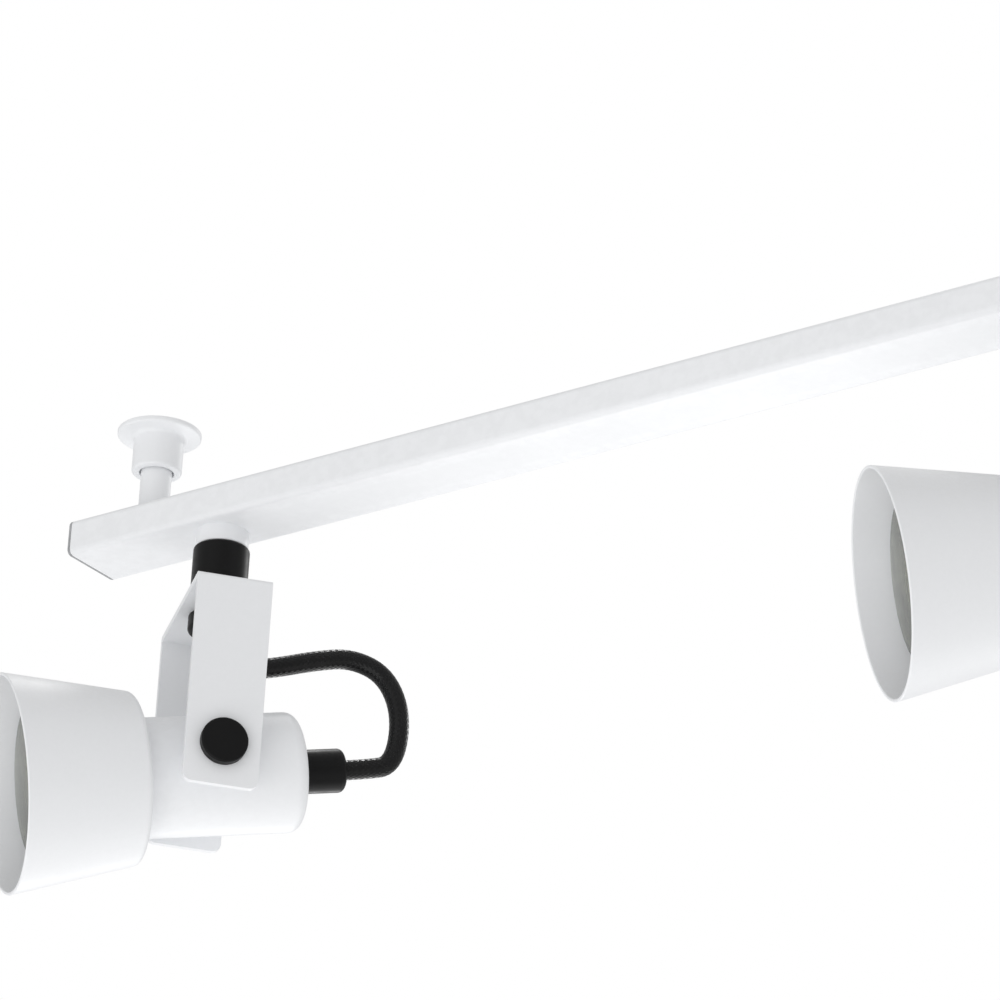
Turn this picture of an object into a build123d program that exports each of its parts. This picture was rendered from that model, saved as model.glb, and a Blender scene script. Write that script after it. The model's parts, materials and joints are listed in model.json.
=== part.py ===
from build123d import *
import math
import os

# Ceiling bar with two swivelling yoke spotlights. Millimetres, +Z up, +X along the bar.
# The origin lies on the ceiling plane, midway between the two flanges; -Y is the front.

# ---- bar -----------------------------------------------------------------------------
bar_length = 548.0
bar_depth = 30.0
bar_height = 15.0
bar_wall = 1.5
bar_corner = 2.5
least_corner = 0.8
cap_thickness = 1.2
cap_plug_depth = 9.0
cap_plug_wall = 1.5

# ---- standoffs that hold the bar off the ceiling -------------------------------------
ceiling_drop = 37.6
standoff_spacing = 487.0
stem_radius = 6.2
stem_depth_in_collar = 11.0
stem_end_round = 0.6
stem_thread_radius = 4.0
stem_thread_past_nut = 1.5
stem_nut_across = 13.0
stem_nut_thickness = 5.0
flange_radius = 16.85
flange_thickness = 2.2
flange_top_round = 0.5
flange_edge_round = 1.0
flange_skirt = 0.6
flange_skirt_round = 1.6
stem_socket_floor = 0.8
collar_radius = 10.05
collar_length = 18.0
collar_mouth_radius = 7.0
collar_mouth_depth = 2.5
collar_end_round = 1.1
ceiling_hole_radius = 2.2
grub_radius = 1.95
grub_height = 12.0
grub_sunk = 0.4
grub_slot_width = 0.6
grub_slot_depth = 0.8

# ---- supply inlet and terminal block -------------------------------------------------
inlet_offset = 30.0
inlet_hole_radius = 6.0
inlet_bore_radius = 4.0
grommet_lip = 2.0
grommet_lip_thickness = 1.8
grommet_lip_round = 1.0
block_length = 28.0
block_width = 20.0
block_height = 9.5
block_edge = 0.8
terminal_pitch = 6.0
terminal_hole_radius = 1.5
terminal_screw_radius = 1.4
terminal_screw_sunk = 0.5
terminal_slot_width = 0.5
terminal_slot_depth = 0.6
wire_radius = 1.1
wire_pitch = 2.6
wire_bend = 4.0
wire_above_nipple = 1.9
wire_start_in_nipple = 4.0
wire_end_in_block = 5.0

# ---- swivel --------------------------------------------------------------------------
lamp_spacing = 413.0
boss_radius = 10.4
boss_height = 7.0
boss_round = 0.6
swivel_radius = 11.2
swivel_height = 25.9
swivel_bottom_round = 0.5
swivel_top_round = 1.3
groove_radius = 8.9
groove_half_width = 1.45
groove_depth = 3.0
stop_land_width = 2.2
stop_pin_radius = 1.1
stop_pin_height = 2.5
nipple_radius = 6.5
nipple_bore_radius = 5.0
nipple_end_chamfer = 0.4
nipple_nut_across = 17.0
nipple_nut_thickness = 3.0
nipple_proud = 0.5
spring_washer_radius = 10.0
spring_washer_thickness = 1.0
outlet_radius = 11.1
outlet_height = 7.0
outlet_bottom_round = 1.6
outlet_top_round = 0.4
outlet_thread_depth = 3.5

# ---- yoke ----------------------------------------------------------------------------
yoke_width = 69.4
yoke_sheet = 2.5
yoke_arm_width = 29.9
yoke_bend_radius = 1.4
yoke_inner_bend_radius = 0.5
yoke_foot_radius = 3.6
pivot_below_yoke_top = 71.2
arm_below_pivot = 17.4

# ---- lamp head: distances along the lamp axis are from the pivot, forwards positive ----
housing_radius = 23.7
housing_wall = 1.7
housing_rear = -37.2
housing_front = 28.2
housing_rear_round = 5.0
shade_rear_radius = 33.9
shade_mouth_radius = 43.4
shade_length = 51.9
shade_wall = 1.3
shade_rear_round = 3.0
shade_rim_round = 0.55
shade_hole_radius = 16.5
ring_bore_radius = 16.9
ring_flange_depth = 6.2
ring_skirt_wall = 2.5
shade_screw_circle = 19.3
shade_screw_radius = 1.4
shade_screw_head_radius = 2.5
shade_screw_head_height = 1.7
shade_screw_head_round = 0.8
shade_screw_cross_length = 3.0
shade_screw_cross_width = 0.6
shade_screw_cross_depth = 0.7
shade_screw_length = 5.5
shade_screw_count = 3
shade_screw_first_angle = 30.0

# ---- pivot ---------------------------------------------------------------------------
pivot_boss_radius = 7.0
pivot_boss_round = 0.5
pivot_spigot_radius = 4.4
pivot_spigot_depth = 2.6
pivot_thread_radius = 3.0
pivot_washer_radius = 8.0
pivot_washer_thickness = 0.9
stud_past_skin = 1.5
knob_radius = 9.35
knob_thickness = 4.0
knob_edge = 0.7
knob_back_round = 0.4
arm_hole_radius = 3.3

# ---- lampholder and bulb -------------------------------------------------------------
holder_radius = 19.5
holder_rear = -31.0
holder_front = 8.0
holder_bore_radius = 14.6
holder_floor = -24.5
holder_cable_hole = 4.4
holder_rear_round = 1.5
shell_wall = 0.9
shell_rear = -22.0
shell_front = 2.0
contact_radius = 3.5
contact_foot_thickness = 0.6
bulb_cap_radius = 13.1
bulb_tip = -22.0
bulb_cap_front = 4.5
bulb_cap_wall = 0.8
bulb_tip_radius = 3.6
bulb_tip_shoulder = (5.5, 1.6)
bulb_insulator_rim = (1.5, 4.0)
bulb_shell_start = 5.5
bulb_shell_floor = 6.3
bulb_neck_step = 0.4
bulb_neck_radius = 15.4
bulb_neck_front = 33.0
bulb_rim_radius = 31.7
bulb_rim = 64.5
bulb_face = 70.5
bulb_glass = 1.8
flare_leaves = (0.15, 1.0)
flare_arrives = (0.25, 1.0)
flare_pulls = (0.75, 0.9)
lens_rise = 1.8
lens_bevel = 1.2
lens_seat = 4.0
lens_step = 0.2

# ---- cable and gland -----------------------------------------------------------------
cable_radius = 3.9
cable_seat = 2.0
cable_exit_run = 11.5
cable_gland_run = 11.0
cable_bend_share = 0.45
gland_radius = 8.7
gland_length = 18.9
gland_end_round = 2.2
gland_thread_radius = 6.0
gland_nut_radius = 8.6
gland_nut_thickness = 2.8

# ---- clearances ----------------------------------------------------------------------
seat_gap = 0.1
running_gap = 0.08
screw_gap = 0.05
contact_gap = 0.4
cut_past = 1.0

# ---- rest pose of each lamp: bar side, turn from the bar, tilt below level (degrees) ----
lamps = {"left": (-1, 50.5, 11.5), "right": (1, 44.0, 13.5)}
sides = {"left": -1, "right": 1}

# ---- levels that follow from the sizes above -----------------------------------------
bar_top = -ceiling_drop
bar_bottom = bar_top - bar_height
tube_floor = bar_bottom + bar_wall
tube_roof = bar_top - bar_wall
boss_bottom = bar_bottom - boss_height
yoke_top = boss_bottom - swivel_height - seat_gap
plate_bottom = yoke_top - yoke_sheet
outlet_top = plate_bottom - spring_washer_thickness - 2 * seat_gap
outlet_bottom = outlet_top - outlet_height
nipple_top = tube_floor + nipple_nut_thickness + nipple_proud
nipple_bottom = outlet_top - outlet_thread_depth
pivot_height = yoke_top - pivot_below_yoke_top
arm_inner = yoke_width / 2 - yoke_sheet
washer_outer = arm_inner - seat_gap
boss_outer = washer_outer - pivot_washer_thickness
ring_rear = holder_front
gland_end = housing_rear - gland_length
wire_level = nipple_top + wire_radius + wire_above_nipple
cable_bore_radius = cable_radius + seat_gap


def rod(radius, start, end):
    """A round bar along Z."""
    return Pos(0, 0, start) * Cylinder(radius, end - start, align=(Align.CENTER, Align.CENTER, Align.MIN))


def pipe(outer, inner, start, end):
    """A round tube along Z."""
    return rod(outer, start, end) - rod(inner, start - cut_past, end + cut_past)


def turned(points, rounds=()):
    """A body of revolution about Z from (radius, height) points, with some corners rounded."""
    face = make_face(Polyline(*points, close=True))
    for point, radius in rounds:
        corner = face.vertices().sort_by_distance((point[0], point[1], 0))[0]
        face = fillet(corner, radius)
    return revolve(Plane.XZ * face, Axis.Z)


def hexagon_nut(across_flats, bore_radius, start, end):
    """A hexagonal nut along Z."""
    outline = RegularPolygon(across_flats / 2, 6, major_radius=False)
    nut = Pos(0, 0, start) * extrude(outline, end - start)
    return nut - rod(bore_radius, start - cut_past, end + cut_past)


def save(shape, name):
    """Write one piece, or one group of identical pieces, to its own file."""
    export_step(shape, f"parts/{name}.step")


def group(pieces):
    """Several separate solids in one piece file."""
    return Compound(children=[solid for piece in pieces for solid in piece.solids()])


def towards_y(side):
    """Turns +Z to +Y for side 1, or to -Y for side -1."""
    return Rot(-90 * side, 0, 0)


TO_LAMP_AXIS = Rot(0, 90, 0)


# ---- bar and end caps ----------------------------------------------------------------
def bar_outline(inset):
    """The bar's rounded outline, pulled in by an inset."""
    corner = max(bar_corner - inset, least_corner)
    return RectangleRounded(bar_depth - 2 * inset, bar_height - 2 * inset, corner)


def along_bar(outline, start, end):
    """An outline across the bar, pulled along it from start to end."""
    plane = Plane(origin=(start, 0, bar_top - bar_height / 2), x_dir=(0, 1, 0), z_dir=(1, 0, 0))
    return extrude(plane * outline, end - start)


def make_bar():
    """The rectangular tube with its holes for stems, nipples and supply."""
    half = bar_length / 2 - cap_thickness
    tube = along_bar(bar_outline(0), -half, half) - along_bar(bar_outline(bar_wall), -half, half)
    for side in sides.values():
        stem_hole = rod(stem_thread_radius + seat_gap, tube_roof - cut_past, bar_top + cut_past)
        tube -= Pos(side * standoff_spacing / 2, 0, 0) * stem_hole
        nipple_hole = rod(nipple_radius + seat_gap, bar_bottom - cut_past, tube_floor + cut_past)
        tube -= Pos(side * lamp_spacing / 2, 0, 0) * nipple_hole
    return tube - Pos(inlet_offset, 0, 0) * rod(inlet_hole_radius, tube_roof - cut_past, bar_top + cut_past)


def make_end_cap(side):
    """A thin cover with a plug that fills the end of the tube."""
    joint = bar_length / 2 - cap_thickness
    cover = along_bar(bar_outline(0), joint, joint + cap_thickness)
    plug = along_bar(bar_outline(bar_wall + seat_gap), joint - cap_plug_depth, joint)
    hollow_inset = bar_wall + seat_gap + cap_plug_wall
    hollow = along_bar(bar_outline(hollow_inset), joint - cap_plug_depth, joint - cap_plug_wall)
    cap = cover + (plug - hollow)
    return cap if side > 0 else Rot(0, 0, 180) * cap


# ---- standoffs -----------------------------------------------------------------------
def make_flange():
    """The ceiling disc and its collar, bored for the stem and for the ceiling screw."""
    bore = stem_radius + screw_gap
    socket_floor = -flange_thickness - stem_socket_floor
    points = [
        (ceiling_hole_radius, 0),
        (flange_radius, 0),
        (flange_radius, -flange_thickness),
        (collar_radius, -flange_thickness - flange_skirt),
        (collar_radius, -collar_length),
        (collar_mouth_radius, -collar_length),
        (collar_mouth_radius, collar_mouth_depth - collar_length),
        (bore, collar_mouth_depth - collar_length),
        (bore, socket_floor),
        (ceiling_hole_radius, socket_floor),
    ]
    rounds = [
        (points[1], flange_top_round),
        (points[2], flange_edge_round),
        (points[3], flange_skirt_round),
        (points[4], collar_end_round),
    ]
    body = turned(points, rounds)
    grub_hole = rod(grub_radius + screw_gap, 0, collar_radius + cut_past)
    return body - towards_y(1) * Pos(0, grub_height, 0) * grub_hole


def make_stem():
    """The round stem with its threaded end, standing on the bar."""
    top = stem_depth_in_collar - collar_length
    shaft = turned(
        [(0, bar_top), (stem_radius, bar_top), (stem_radius, top), (0, top)],
        [((stem_radius, top), stem_end_round)],
    )
    thread_end = tube_roof - stem_nut_thickness - stem_thread_past_nut
    return shaft + rod(stem_thread_radius, thread_end, (bar_top + top) / 2)


def make_standoffs():
    """Flanges, stems, their nuts and the grub screws."""
    nuts = []
    grubs = []
    nut_bore = stem_thread_radius + screw_gap
    nut = hexagon_nut(stem_nut_across, nut_bore, tube_roof - stem_nut_thickness, tube_roof)
    for name, side in sides.items():
        place = Pos(side * standoff_spacing / 2, 0, 0)
        save(place * make_flange(), f"ceiling_flange_{name}")
        save(place * make_stem(), f"standoff_stem_{name}")
        nuts.append(place * nut)
        grub = rod(grub_radius, stem_radius + screw_gap, collar_radius - grub_sunk)
        slot = Box(2 * grub_radius, grub_slot_width, 2 * grub_slot_depth)
        grub -= Pos(0, 0, collar_radius - grub_sunk) * slot
        grubs.append(place * towards_y(1) * Pos(0, grub_height, 0) * grub)
    save(group(nuts), "stem_nuts")
    save(group(grubs), "grub_screws")


# ---- supply inlet, terminal block and wires ------------------------------------------
def make_grommet():
    """A rubber ring that lines the inlet hole and grips both faces of the bar's wall."""
    lip_radius = inlet_hole_radius + grommet_lip
    neck_radius = inlet_hole_radius - seat_gap
    points = [
        (inlet_bore_radius, tube_roof - grommet_lip_thickness),
        (lip_radius, tube_roof - grommet_lip_thickness),
        (lip_radius, tube_roof),
        (neck_radius, tube_roof),
        (neck_radius, bar_top),
        (lip_radius, bar_top),
        (lip_radius, bar_top + grommet_lip_thickness),
        (inlet_bore_radius, bar_top + grommet_lip_thickness),
    ]
    rounds = [(points[6], grommet_lip_round), (points[1], grommet_lip_round)]
    return Pos(inlet_offset, 0, 0) * turned(points, rounds)


def terminal_rows():
    """The sideways place of each terminal."""
    return [row * terminal_pitch for row in (-1, 0, 1)]


def make_terminal_block():
    """A three-way block on the floor of the tube, with wire holes and screw wells."""
    block = Pos(0, 0, tube_floor) * Box(
        block_length, block_width, block_height, align=(Align.CENTER, Align.CENTER, Align.MIN)
    )
    upper_edges = block.edges().group_by(Axis.Z)[-1]
    block = chamfer(upper_edges, block_edge)
    for y in terminal_rows():
        wire_hole = TO_LAMP_AXIS * rod(terminal_hole_radius, -block_length, block_length)
        block -= Pos(0, y, wire_level) * wire_hole
        for side in sides.values():
            well = rod(terminal_screw_radius + screw_gap, wire_level, tube_floor + block_height + cut_past)
            block -= Pos(side * block_length / 4, y, 0) * well
    return block


def make_terminal_screws():
    """The six clamping screws of the terminal block."""
    top = tube_floor + block_height - terminal_screw_sunk
    screw = rod(terminal_screw_radius, wire_level + wire_radius + screw_gap, top)
    slot = Box(3 * terminal_screw_radius, terminal_slot_width, 2 * terminal_slot_depth)
    screw -= Pos(0, 0, top) * slot
    return group(
        [
            Pos(side * block_length / 4, y, 0) * screw
            for y in terminal_rows()
            for side in sides.values()
        ]
    )


def make_wires(side):
    """Three insulated wires from a nipple along the tube to the terminal block."""
    lamp_x = side * lamp_spacing / 2
    wires = []
    for row in (-1, 0, 1):
        start = Vector(lamp_x, row * wire_pitch, nipple_bottom + wire_start_in_nipple)
        corner = Vector(lamp_x, row * wire_pitch, wire_level)
        end = Vector(side * (block_length / 2 - wire_end_in_block), row * terminal_pitch, wire_level)
        path = FilletPolyline(start, corner, end, radius=[wire_bend])
        section = Plane(origin=start, z_dir=(0, 0, 1)) * Circle(wire_radius)
        wires.append(sweep(section, path=path))
    return group(wires)


# ---- swivel: pieces that stay with the bar -------------------------------------------
def make_boss():
    """The white bush under the bar."""
    points = [
        (nipple_radius + seat_gap, boss_bottom),
        (boss_radius, boss_bottom),
        (boss_radius, bar_bottom),
        (nipple_radius + seat_gap, bar_bottom),
    ]
    return turned(points, [(points[1], boss_round)])


def make_swivel():
    """The black swivel sleeve, with the groove and land that stop the yoke's turn."""
    bottom = yoke_top + seat_gap
    points = [
        (nipple_radius + seat_gap, bottom),
        (swivel_radius, bottom),
        (swivel_radius, boss_bottom),
        (nipple_radius + seat_gap, boss_bottom),
    ]
    body = turned(points, [(points[1], swivel_bottom_round), (points[2], swivel_top_round)])
    groove = pipe(
        groove_radius + groove_half_width,
        groove_radius - groove_half_width,
        bottom - cut_past,
        bottom + groove_depth,
    )
    land = Pos(0, -groove_radius, bottom) * Box(stop_land_width, 4 * groove_half_width, 4 * groove_depth)
    return body - (groove - land)


def make_nipple():
    """The hollow threaded tube that holds the swivel together and carries the cable."""
    body = pipe(nipple_radius, nipple_bore_radius, nipple_bottom, nipple_top)
    middle = (nipple_radius + nipple_bore_radius) / 2
    ends = body.edges().filter_by(GeomType.CIRCLE).filter_by(lambda edge: edge.radius > middle)
    return chamfer(ends, min(nipple_end_chamfer, 0.5 * (nipple_radius - nipple_bore_radius)))


def make_outlet():
    """The round black nut under the yoke, which the cable comes out of."""
    thread = nipple_radius + screw_gap
    points = [
        (cable_bore_radius, outlet_bottom),
        (outlet_radius, outlet_bottom),
        (outlet_radius, outlet_top),
        (thread, outlet_top),
        (thread, nipple_bottom - seat_gap),
        (cable_bore_radius, nipple_bottom - seat_gap),
    ]
    return turned(points, [(points[1], outlet_bottom_round), (points[2], outlet_top_round)])


def make_swivel_groups():
    """The swivel pieces that are the same at both lamps."""
    places = [Pos(side * lamp_spacing / 2, 0, 0) for side in sides.values()]
    nut = hexagon_nut(
        nipple_nut_across, nipple_radius + screw_gap, tube_floor, tube_floor + nipple_nut_thickness
    )
    save(group([place * make_boss() for place in places]), "bar_bosses")
    save(group([place * make_nipple() for place in places]), "hollow_nipples")
    save(group([place * nut for place in places]), "nipple_nuts")
    save(group([place * make_outlet() for place in places]), "outlet_nuts")


# ---- yoke ----------------------------------------------------------------------------
def make_yoke():
    """The bent sheet-metal yoke; its arms lie along local Y and the lamp points to local +X."""
    bottom = pivot_height - arm_below_pivot
    outer = Pos(0, (yoke_top + bottom) / 2) * Rectangle(yoke_width, yoke_top - bottom)
    top_corners = outer.vertices().group_by(Axis.Y)[-1]
    outer = fillet(top_corners, yoke_bend_radius)
    inner = Pos(0, (plate_bottom + bottom) / 2 - 5) * Rectangle(2 * arm_inner, plate_bottom - bottom + 10)
    inner_corners = inner.vertices().group_by(Axis.Y)[-1]
    inner = fillet(inner_corners, yoke_inner_bend_radius)
    body = extrude(Plane.YZ * (outer - inner), yoke_arm_width / 2, both=True)
    feet = body.edges().filter_by(Axis.Y).sort_by(Axis.Z)[:4]
    body = fillet(feet, yoke_foot_radius)
    body -= rod(nipple_radius + running_gap, plate_bottom - cut_past, yoke_top + cut_past)
    for side in (1, -1):
        hole = towards_y(side) * rod(arm_hole_radius, arm_inner - cut_past, yoke_width / 2 + cut_past)
        body -= Pos(0, 0, pivot_height) * hole
    pin_hole = rod(stop_pin_radius, plate_bottom - cut_past, yoke_top + cut_past)
    return body - Pos(-groove_radius, 0, 0) * pin_hole


def make_stop_pin():
    """The pin riveted in the yoke's plate that runs in the swivel's groove."""
    pin = rod(stop_pin_radius - screw_gap, plate_bottom, yoke_top + stop_pin_height)
    return Pos(-groove_radius, 0, 0) * pin


def make_spring_washer():
    """The washer that presses the yoke against the swivel."""
    return pipe(
        spring_washer_radius,
        nipple_radius + running_gap,
        plate_bottom - seat_gap - spring_washer_thickness,
        plate_bottom,
    )


# ---- lamp head: built along Z, then turned to the lamp axis --------------------------
def make_housing():
    """The round lamp housing with its closed rear wall."""
    inside = housing_radius - housing_wall
    floor = housing_rear + housing_wall
    points = [
        (gland_thread_radius + seat_gap, housing_rear),
        (housing_radius, housing_rear),
        (housing_radius, housing_front),
        (inside, housing_front),
        (inside, floor),
        (gland_thread_radius + seat_gap, floor),
    ]
    body = turned(points, [(points[1], housing_rear_round), (points[4], housing_rear_round - housing_wall)])
    for side in (1, -1):
        body -= towards_y(side) * rod(pivot_spigot_radius + seat_gap, inside / 2, housing_radius + cut_past)
    return body


def make_front_ring():
    """The ring pressed into the housing, which backs the shade and clamps the lampholder."""
    outside = housing_radius - housing_wall - seat_gap
    shoulder = housing_front - ring_flange_depth
    points = [
        (ring_bore_radius, ring_rear),
        (ring_bore_radius + ring_skirt_wall, ring_rear),
        (ring_bore_radius + ring_skirt_wall, shoulder),
        (outside, shoulder),
        (outside, housing_front),
        (ring_bore_radius, housing_front),
    ]
    ring = turned(points)
    hole = rod(shade_screw_radius + screw_gap, shoulder - cut_past, housing_front + cut_past)
    for place in shade_screw_places():
        ring -= place * hole
    return ring


def shade_screw_places():
    """The places of the shade's screws, round the lamp axis."""
    step = 360 / shade_screw_count
    angles = [shade_screw_first_angle + turn * step for turn in range(shade_screw_count)]
    return [Rot(0, 0, angle) * Pos(shade_screw_circle, 0, 0) for angle in angles]


def make_shade():
    """The spun conical shade with its flat rear plate."""
    mouth = housing_front + shade_length
    slope = math.atan2(shade_mouth_radius - shade_rear_radius, shade_length)
    radial_wall = shade_wall / math.cos(slope)
    inner_start = housing_front + shade_wall
    inner_rear = shade_rear_radius + shade_wall * math.tan(slope) - radial_wall
    points = [
        (shade_hole_radius, housing_front),
        (shade_rear_radius, housing_front),
        (shade_mouth_radius, mouth),
        (shade_mouth_radius - radial_wall, mouth),
        (inner_rear, inner_start),
        (shade_hole_radius, inner_start),
    ]
    rounds = [
        (points[1], shade_rear_round),
        (points[4], shade_rear_round - shade_wall),
        (points[2], shade_rim_round),
        (points[3], shade_rim_round),
    ]
    shade = turned(points, rounds)
    hole = rod(shade_screw_radius + seat_gap, housing_front - cut_past, inner_start + cut_past)
    for place in shade_screw_places():
        shade -= place * hole
    return shade


def make_shade_screws():
    """The pan-head screws that hold the shade to the ring."""
    seat = housing_front + shade_wall
    head = rod(shade_screw_head_radius, seat, seat + shade_screw_head_height)
    head = fillet(head.edges().filter_by(GeomType.CIRCLE).sort_by(Axis.Z)[-1], shade_screw_head_round)
    shank = rod(shade_screw_radius, housing_front + seat_gap - shade_screw_length, seat + seat_gap)
    reach, width, depth = shade_screw_cross_length, shade_screw_cross_width, 2 * shade_screw_cross_depth
    cross = Box(reach, width, depth) + Box(width, reach, depth)
    screw = head + shank - Pos(0, 0, seat + shade_screw_head_height) * cross
    return group([place * screw for place in shade_screw_places()])


def make_lampholder():
    """The ceramic lampholder body."""
    points = [
        (holder_cable_hole, holder_rear),
        (holder_radius, holder_rear),
        (holder_radius, holder_front),
        (holder_bore_radius, holder_front),
        (holder_bore_radius, holder_floor),
        (holder_cable_hole, holder_floor),
    ]
    return turned(points, [(points[1], holder_rear_round)])


def make_shell_contact():
    """The brass shell that the bulb's cap screws into."""
    outside = holder_bore_radius - seat_gap
    return pipe(outside, outside - shell_wall, shell_rear, shell_front)


def make_centre_contact():
    """The brass tongue under the bulb's tip, bridging the holder's cable hole."""
    standing = (Align.CENTER, Align.CENTER, Align.MIN)
    foot = Box(4 * contact_radius, contact_radius, contact_foot_thickness, align=standing)
    foot = Pos(0, 0, holder_floor) * foot
    return foot + rod(contact_radius, holder_floor + contact_foot_thickness / 2, bulb_tip - contact_gap)


def make_pivot_bosses():
    """The two tapped bosses riveted to the sides of the housing."""
    bosses = []
    for side in (1, -1):
        seat = rod(pivot_boss_radius, housing_radius / 2, boss_outer)
        seat = fillet(seat.edges().filter_by(GeomType.CIRCLE).sort_by(Axis.Z)[-1], pivot_boss_round)
        inner_end = housing_radius - pivot_spigot_depth
        spigot = rod(pivot_spigot_radius, inner_end, (housing_radius + boss_outer) / 2)
        skin = TO_LAMP_AXIS * rod(housing_radius, -2 * pivot_boss_radius, 2 * pivot_boss_radius)
        boss = (seat - skin) + spigot - rod(pivot_thread_radius, 0, boss_outer + cut_past)
        bosses.append(towards_y(side) * boss)
    return group(bosses)


def make_pivot_washers():
    """The friction washers between bosses and yoke arms."""
    washer = pipe(pivot_washer_radius, arm_hole_radius, boss_outer, washer_outer)
    return group([towards_y(side) * washer for side in (1, -1)])


def make_knob(side):
    """A round clamping knob with its threaded stud."""
    face = yoke_width / 2 + seat_gap
    stud_end = housing_radius - stud_past_skin
    points = [
        (0, stud_end),
        (pivot_thread_radius - screw_gap, stud_end),
        (pivot_thread_radius - screw_gap, face),
        (knob_radius, face),
        (knob_radius, face + knob_thickness),
        (0, face + knob_thickness),
    ]
    return towards_y(side) * turned(points, [(points[4], knob_edge), (points[3], knob_back_round)])


def make_gland():
    """The cable gland at the rear of the housing."""
    inner_end = housing_rear + housing_wall + gland_nut_thickness
    points = [
        (cable_bore_radius, gland_end),
        (gland_radius, gland_end),
        (gland_radius, housing_rear),
        (gland_thread_radius, housing_rear),
        (gland_thread_radius, inner_end),
        (cable_bore_radius, inner_end),
    ]
    return turned(points, [(points[1], gland_end_round)])


def make_gland_nut():
    """The lock nut of the gland inside the housing."""
    start = housing_rear + housing_wall
    return pipe(gland_nut_radius, gland_thread_radius + screw_gap, start, start + gland_nut_thickness)


# ---- bulb ----------------------------------------------------------------------------
def make_bulb_cap():
    """The metal screw cap with its insulated tip."""
    shoulder_radius, shoulder_height = bulb_tip_shoulder
    rim_inset, rim_height = bulb_insulator_rim
    points = [
        (0, bulb_tip),
        (bulb_tip_radius, bulb_tip),
        (shoulder_radius, bulb_tip + shoulder_height),
        (bulb_cap_radius - rim_inset, bulb_tip + rim_height),
        (bulb_cap_radius, bulb_tip + bulb_shell_start),
        (bulb_cap_radius, bulb_cap_front),
        (bulb_cap_radius - bulb_cap_wall, bulb_cap_front),
        (bulb_cap_radius - bulb_cap_wall, bulb_tip + bulb_shell_floor),
        (0, bulb_tip + bulb_shell_floor),
    ]
    return turned(points)


def bulb_curve(offset):
    """The reflector's outline from neck to rim, moved in by an offset."""
    start = (bulb_cap_radius + bulb_neck_step - offset, bulb_cap_front)
    neck = (bulb_neck_radius - offset, bulb_neck_front)
    rim = (bulb_rim_radius - offset, bulb_rim)
    flare = Spline(neck, rim, tangents=(flare_leaves, flare_arrives), tangent_scalars=flare_pulls)
    return start, neck, rim, flare


def make_bulb_reflector():
    """The hollow glass reflector of the bulb."""
    start, neck, rim, flare = bulb_curve(0)
    inner_start, inner_neck, inner_rim, inner_flare = bulb_curve(bulb_glass)
    outline = [
        Line(start, neck),
        flare,
        Line(rim, inner_rim),
        inner_flare,
        Line(inner_neck, inner_start),
        Line(inner_start, start),
    ]
    return revolve(Plane.XZ * make_face(outline), Axis.Z)


def make_bulb_lens():
    """The slightly domed front glass of the bulb."""
    edge = bulb_face - lens_rise - lens_bevel
    brow = (bulb_rim_radius - lens_bevel, bulb_face - lens_rise)
    dome_radius = (brow[0] ** 2 + lens_rise**2) / (2 * lens_rise)
    crown = (0, bulb_face)
    outline = [
        RadiusArc(brow, crown, -dome_radius),
        Polyline(
            crown,
            (0, edge - lens_step),
            (bulb_rim_radius - lens_seat, edge - lens_step),
            (bulb_rim_radius - lens_seat, bulb_rim),
            (bulb_rim_radius, bulb_rim),
            (bulb_rim_radius, edge),
            brow,
        ),
    ]
    return revolve(Plane.XZ * make_face(outline), Axis.Z)


# ---- free cable from the outlet nut round to the gland -------------------------------
# Points in the lamp's upright plane: forwards of the swivel axis, and above the pivot.
LOOP_POINTS = [
    (-10.5, 46.6),
    (-25.5, 50.4),
    (-40.0, 55.6),
    (-55.0, 59.4),
    (-69.5, 54.2),
    (-77.0, 38.0),
    (-75.0, 16.5),
]


def cable_route(tilt):
    """The route's points in the yoke's frame, for a head tilted down by an angle in degrees."""
    rear = Vector(-math.cos(math.radians(tilt)), 0, math.sin(math.radians(tilt)))
    start_height = outlet_bottom + cable_seat - pivot_height
    flat = [(0.0, start_height), (0.0, start_height - cable_exit_run)] + LOOP_POINTS
    points = [Vector(forward, 0, pivot_height + height) for forward, height in flat]
    for reach in (cable_gland_run, 0.0):
        points.append(Vector(0, 0, pivot_height) + rear * (cable_seat_reach() + reach))
    return points


def cable_seat_reach():
    """How far behind the pivot the cable ends, inside the gland."""
    return -gland_end - cable_seat


def make_cable(tilt, name):
    """The tube of the free cable, as straight runs joined by tangent arcs."""
    points = cable_route(tilt)
    runs = [points[i + 1] - points[i] for i in range(len(points) - 1)]
    radii = []
    for before, after in zip(runs, runs[1:]):
        half_turn = math.radians(before.get_angle(after)) / 2
        radii.append(cable_bend_share * min(before.length, after.length) / math.tan(half_turn))
    path = FilletPolyline(*points, radius=radii)
    section = Plane(origin=points[0], z_dir=(0, 0, -1)) * Circle(cable_radius)
    tube = sweep(section, path=path)
    print(f"cable_{name} radii", [round(radius, 1) for radius in radii])
    expected = math.pi * cable_radius**2 * path.length
    print(f"cable_{name} length {path.length:.1f} volume {tube.volume:.0f} section x length {expected:.0f}")
    return tube


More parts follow.
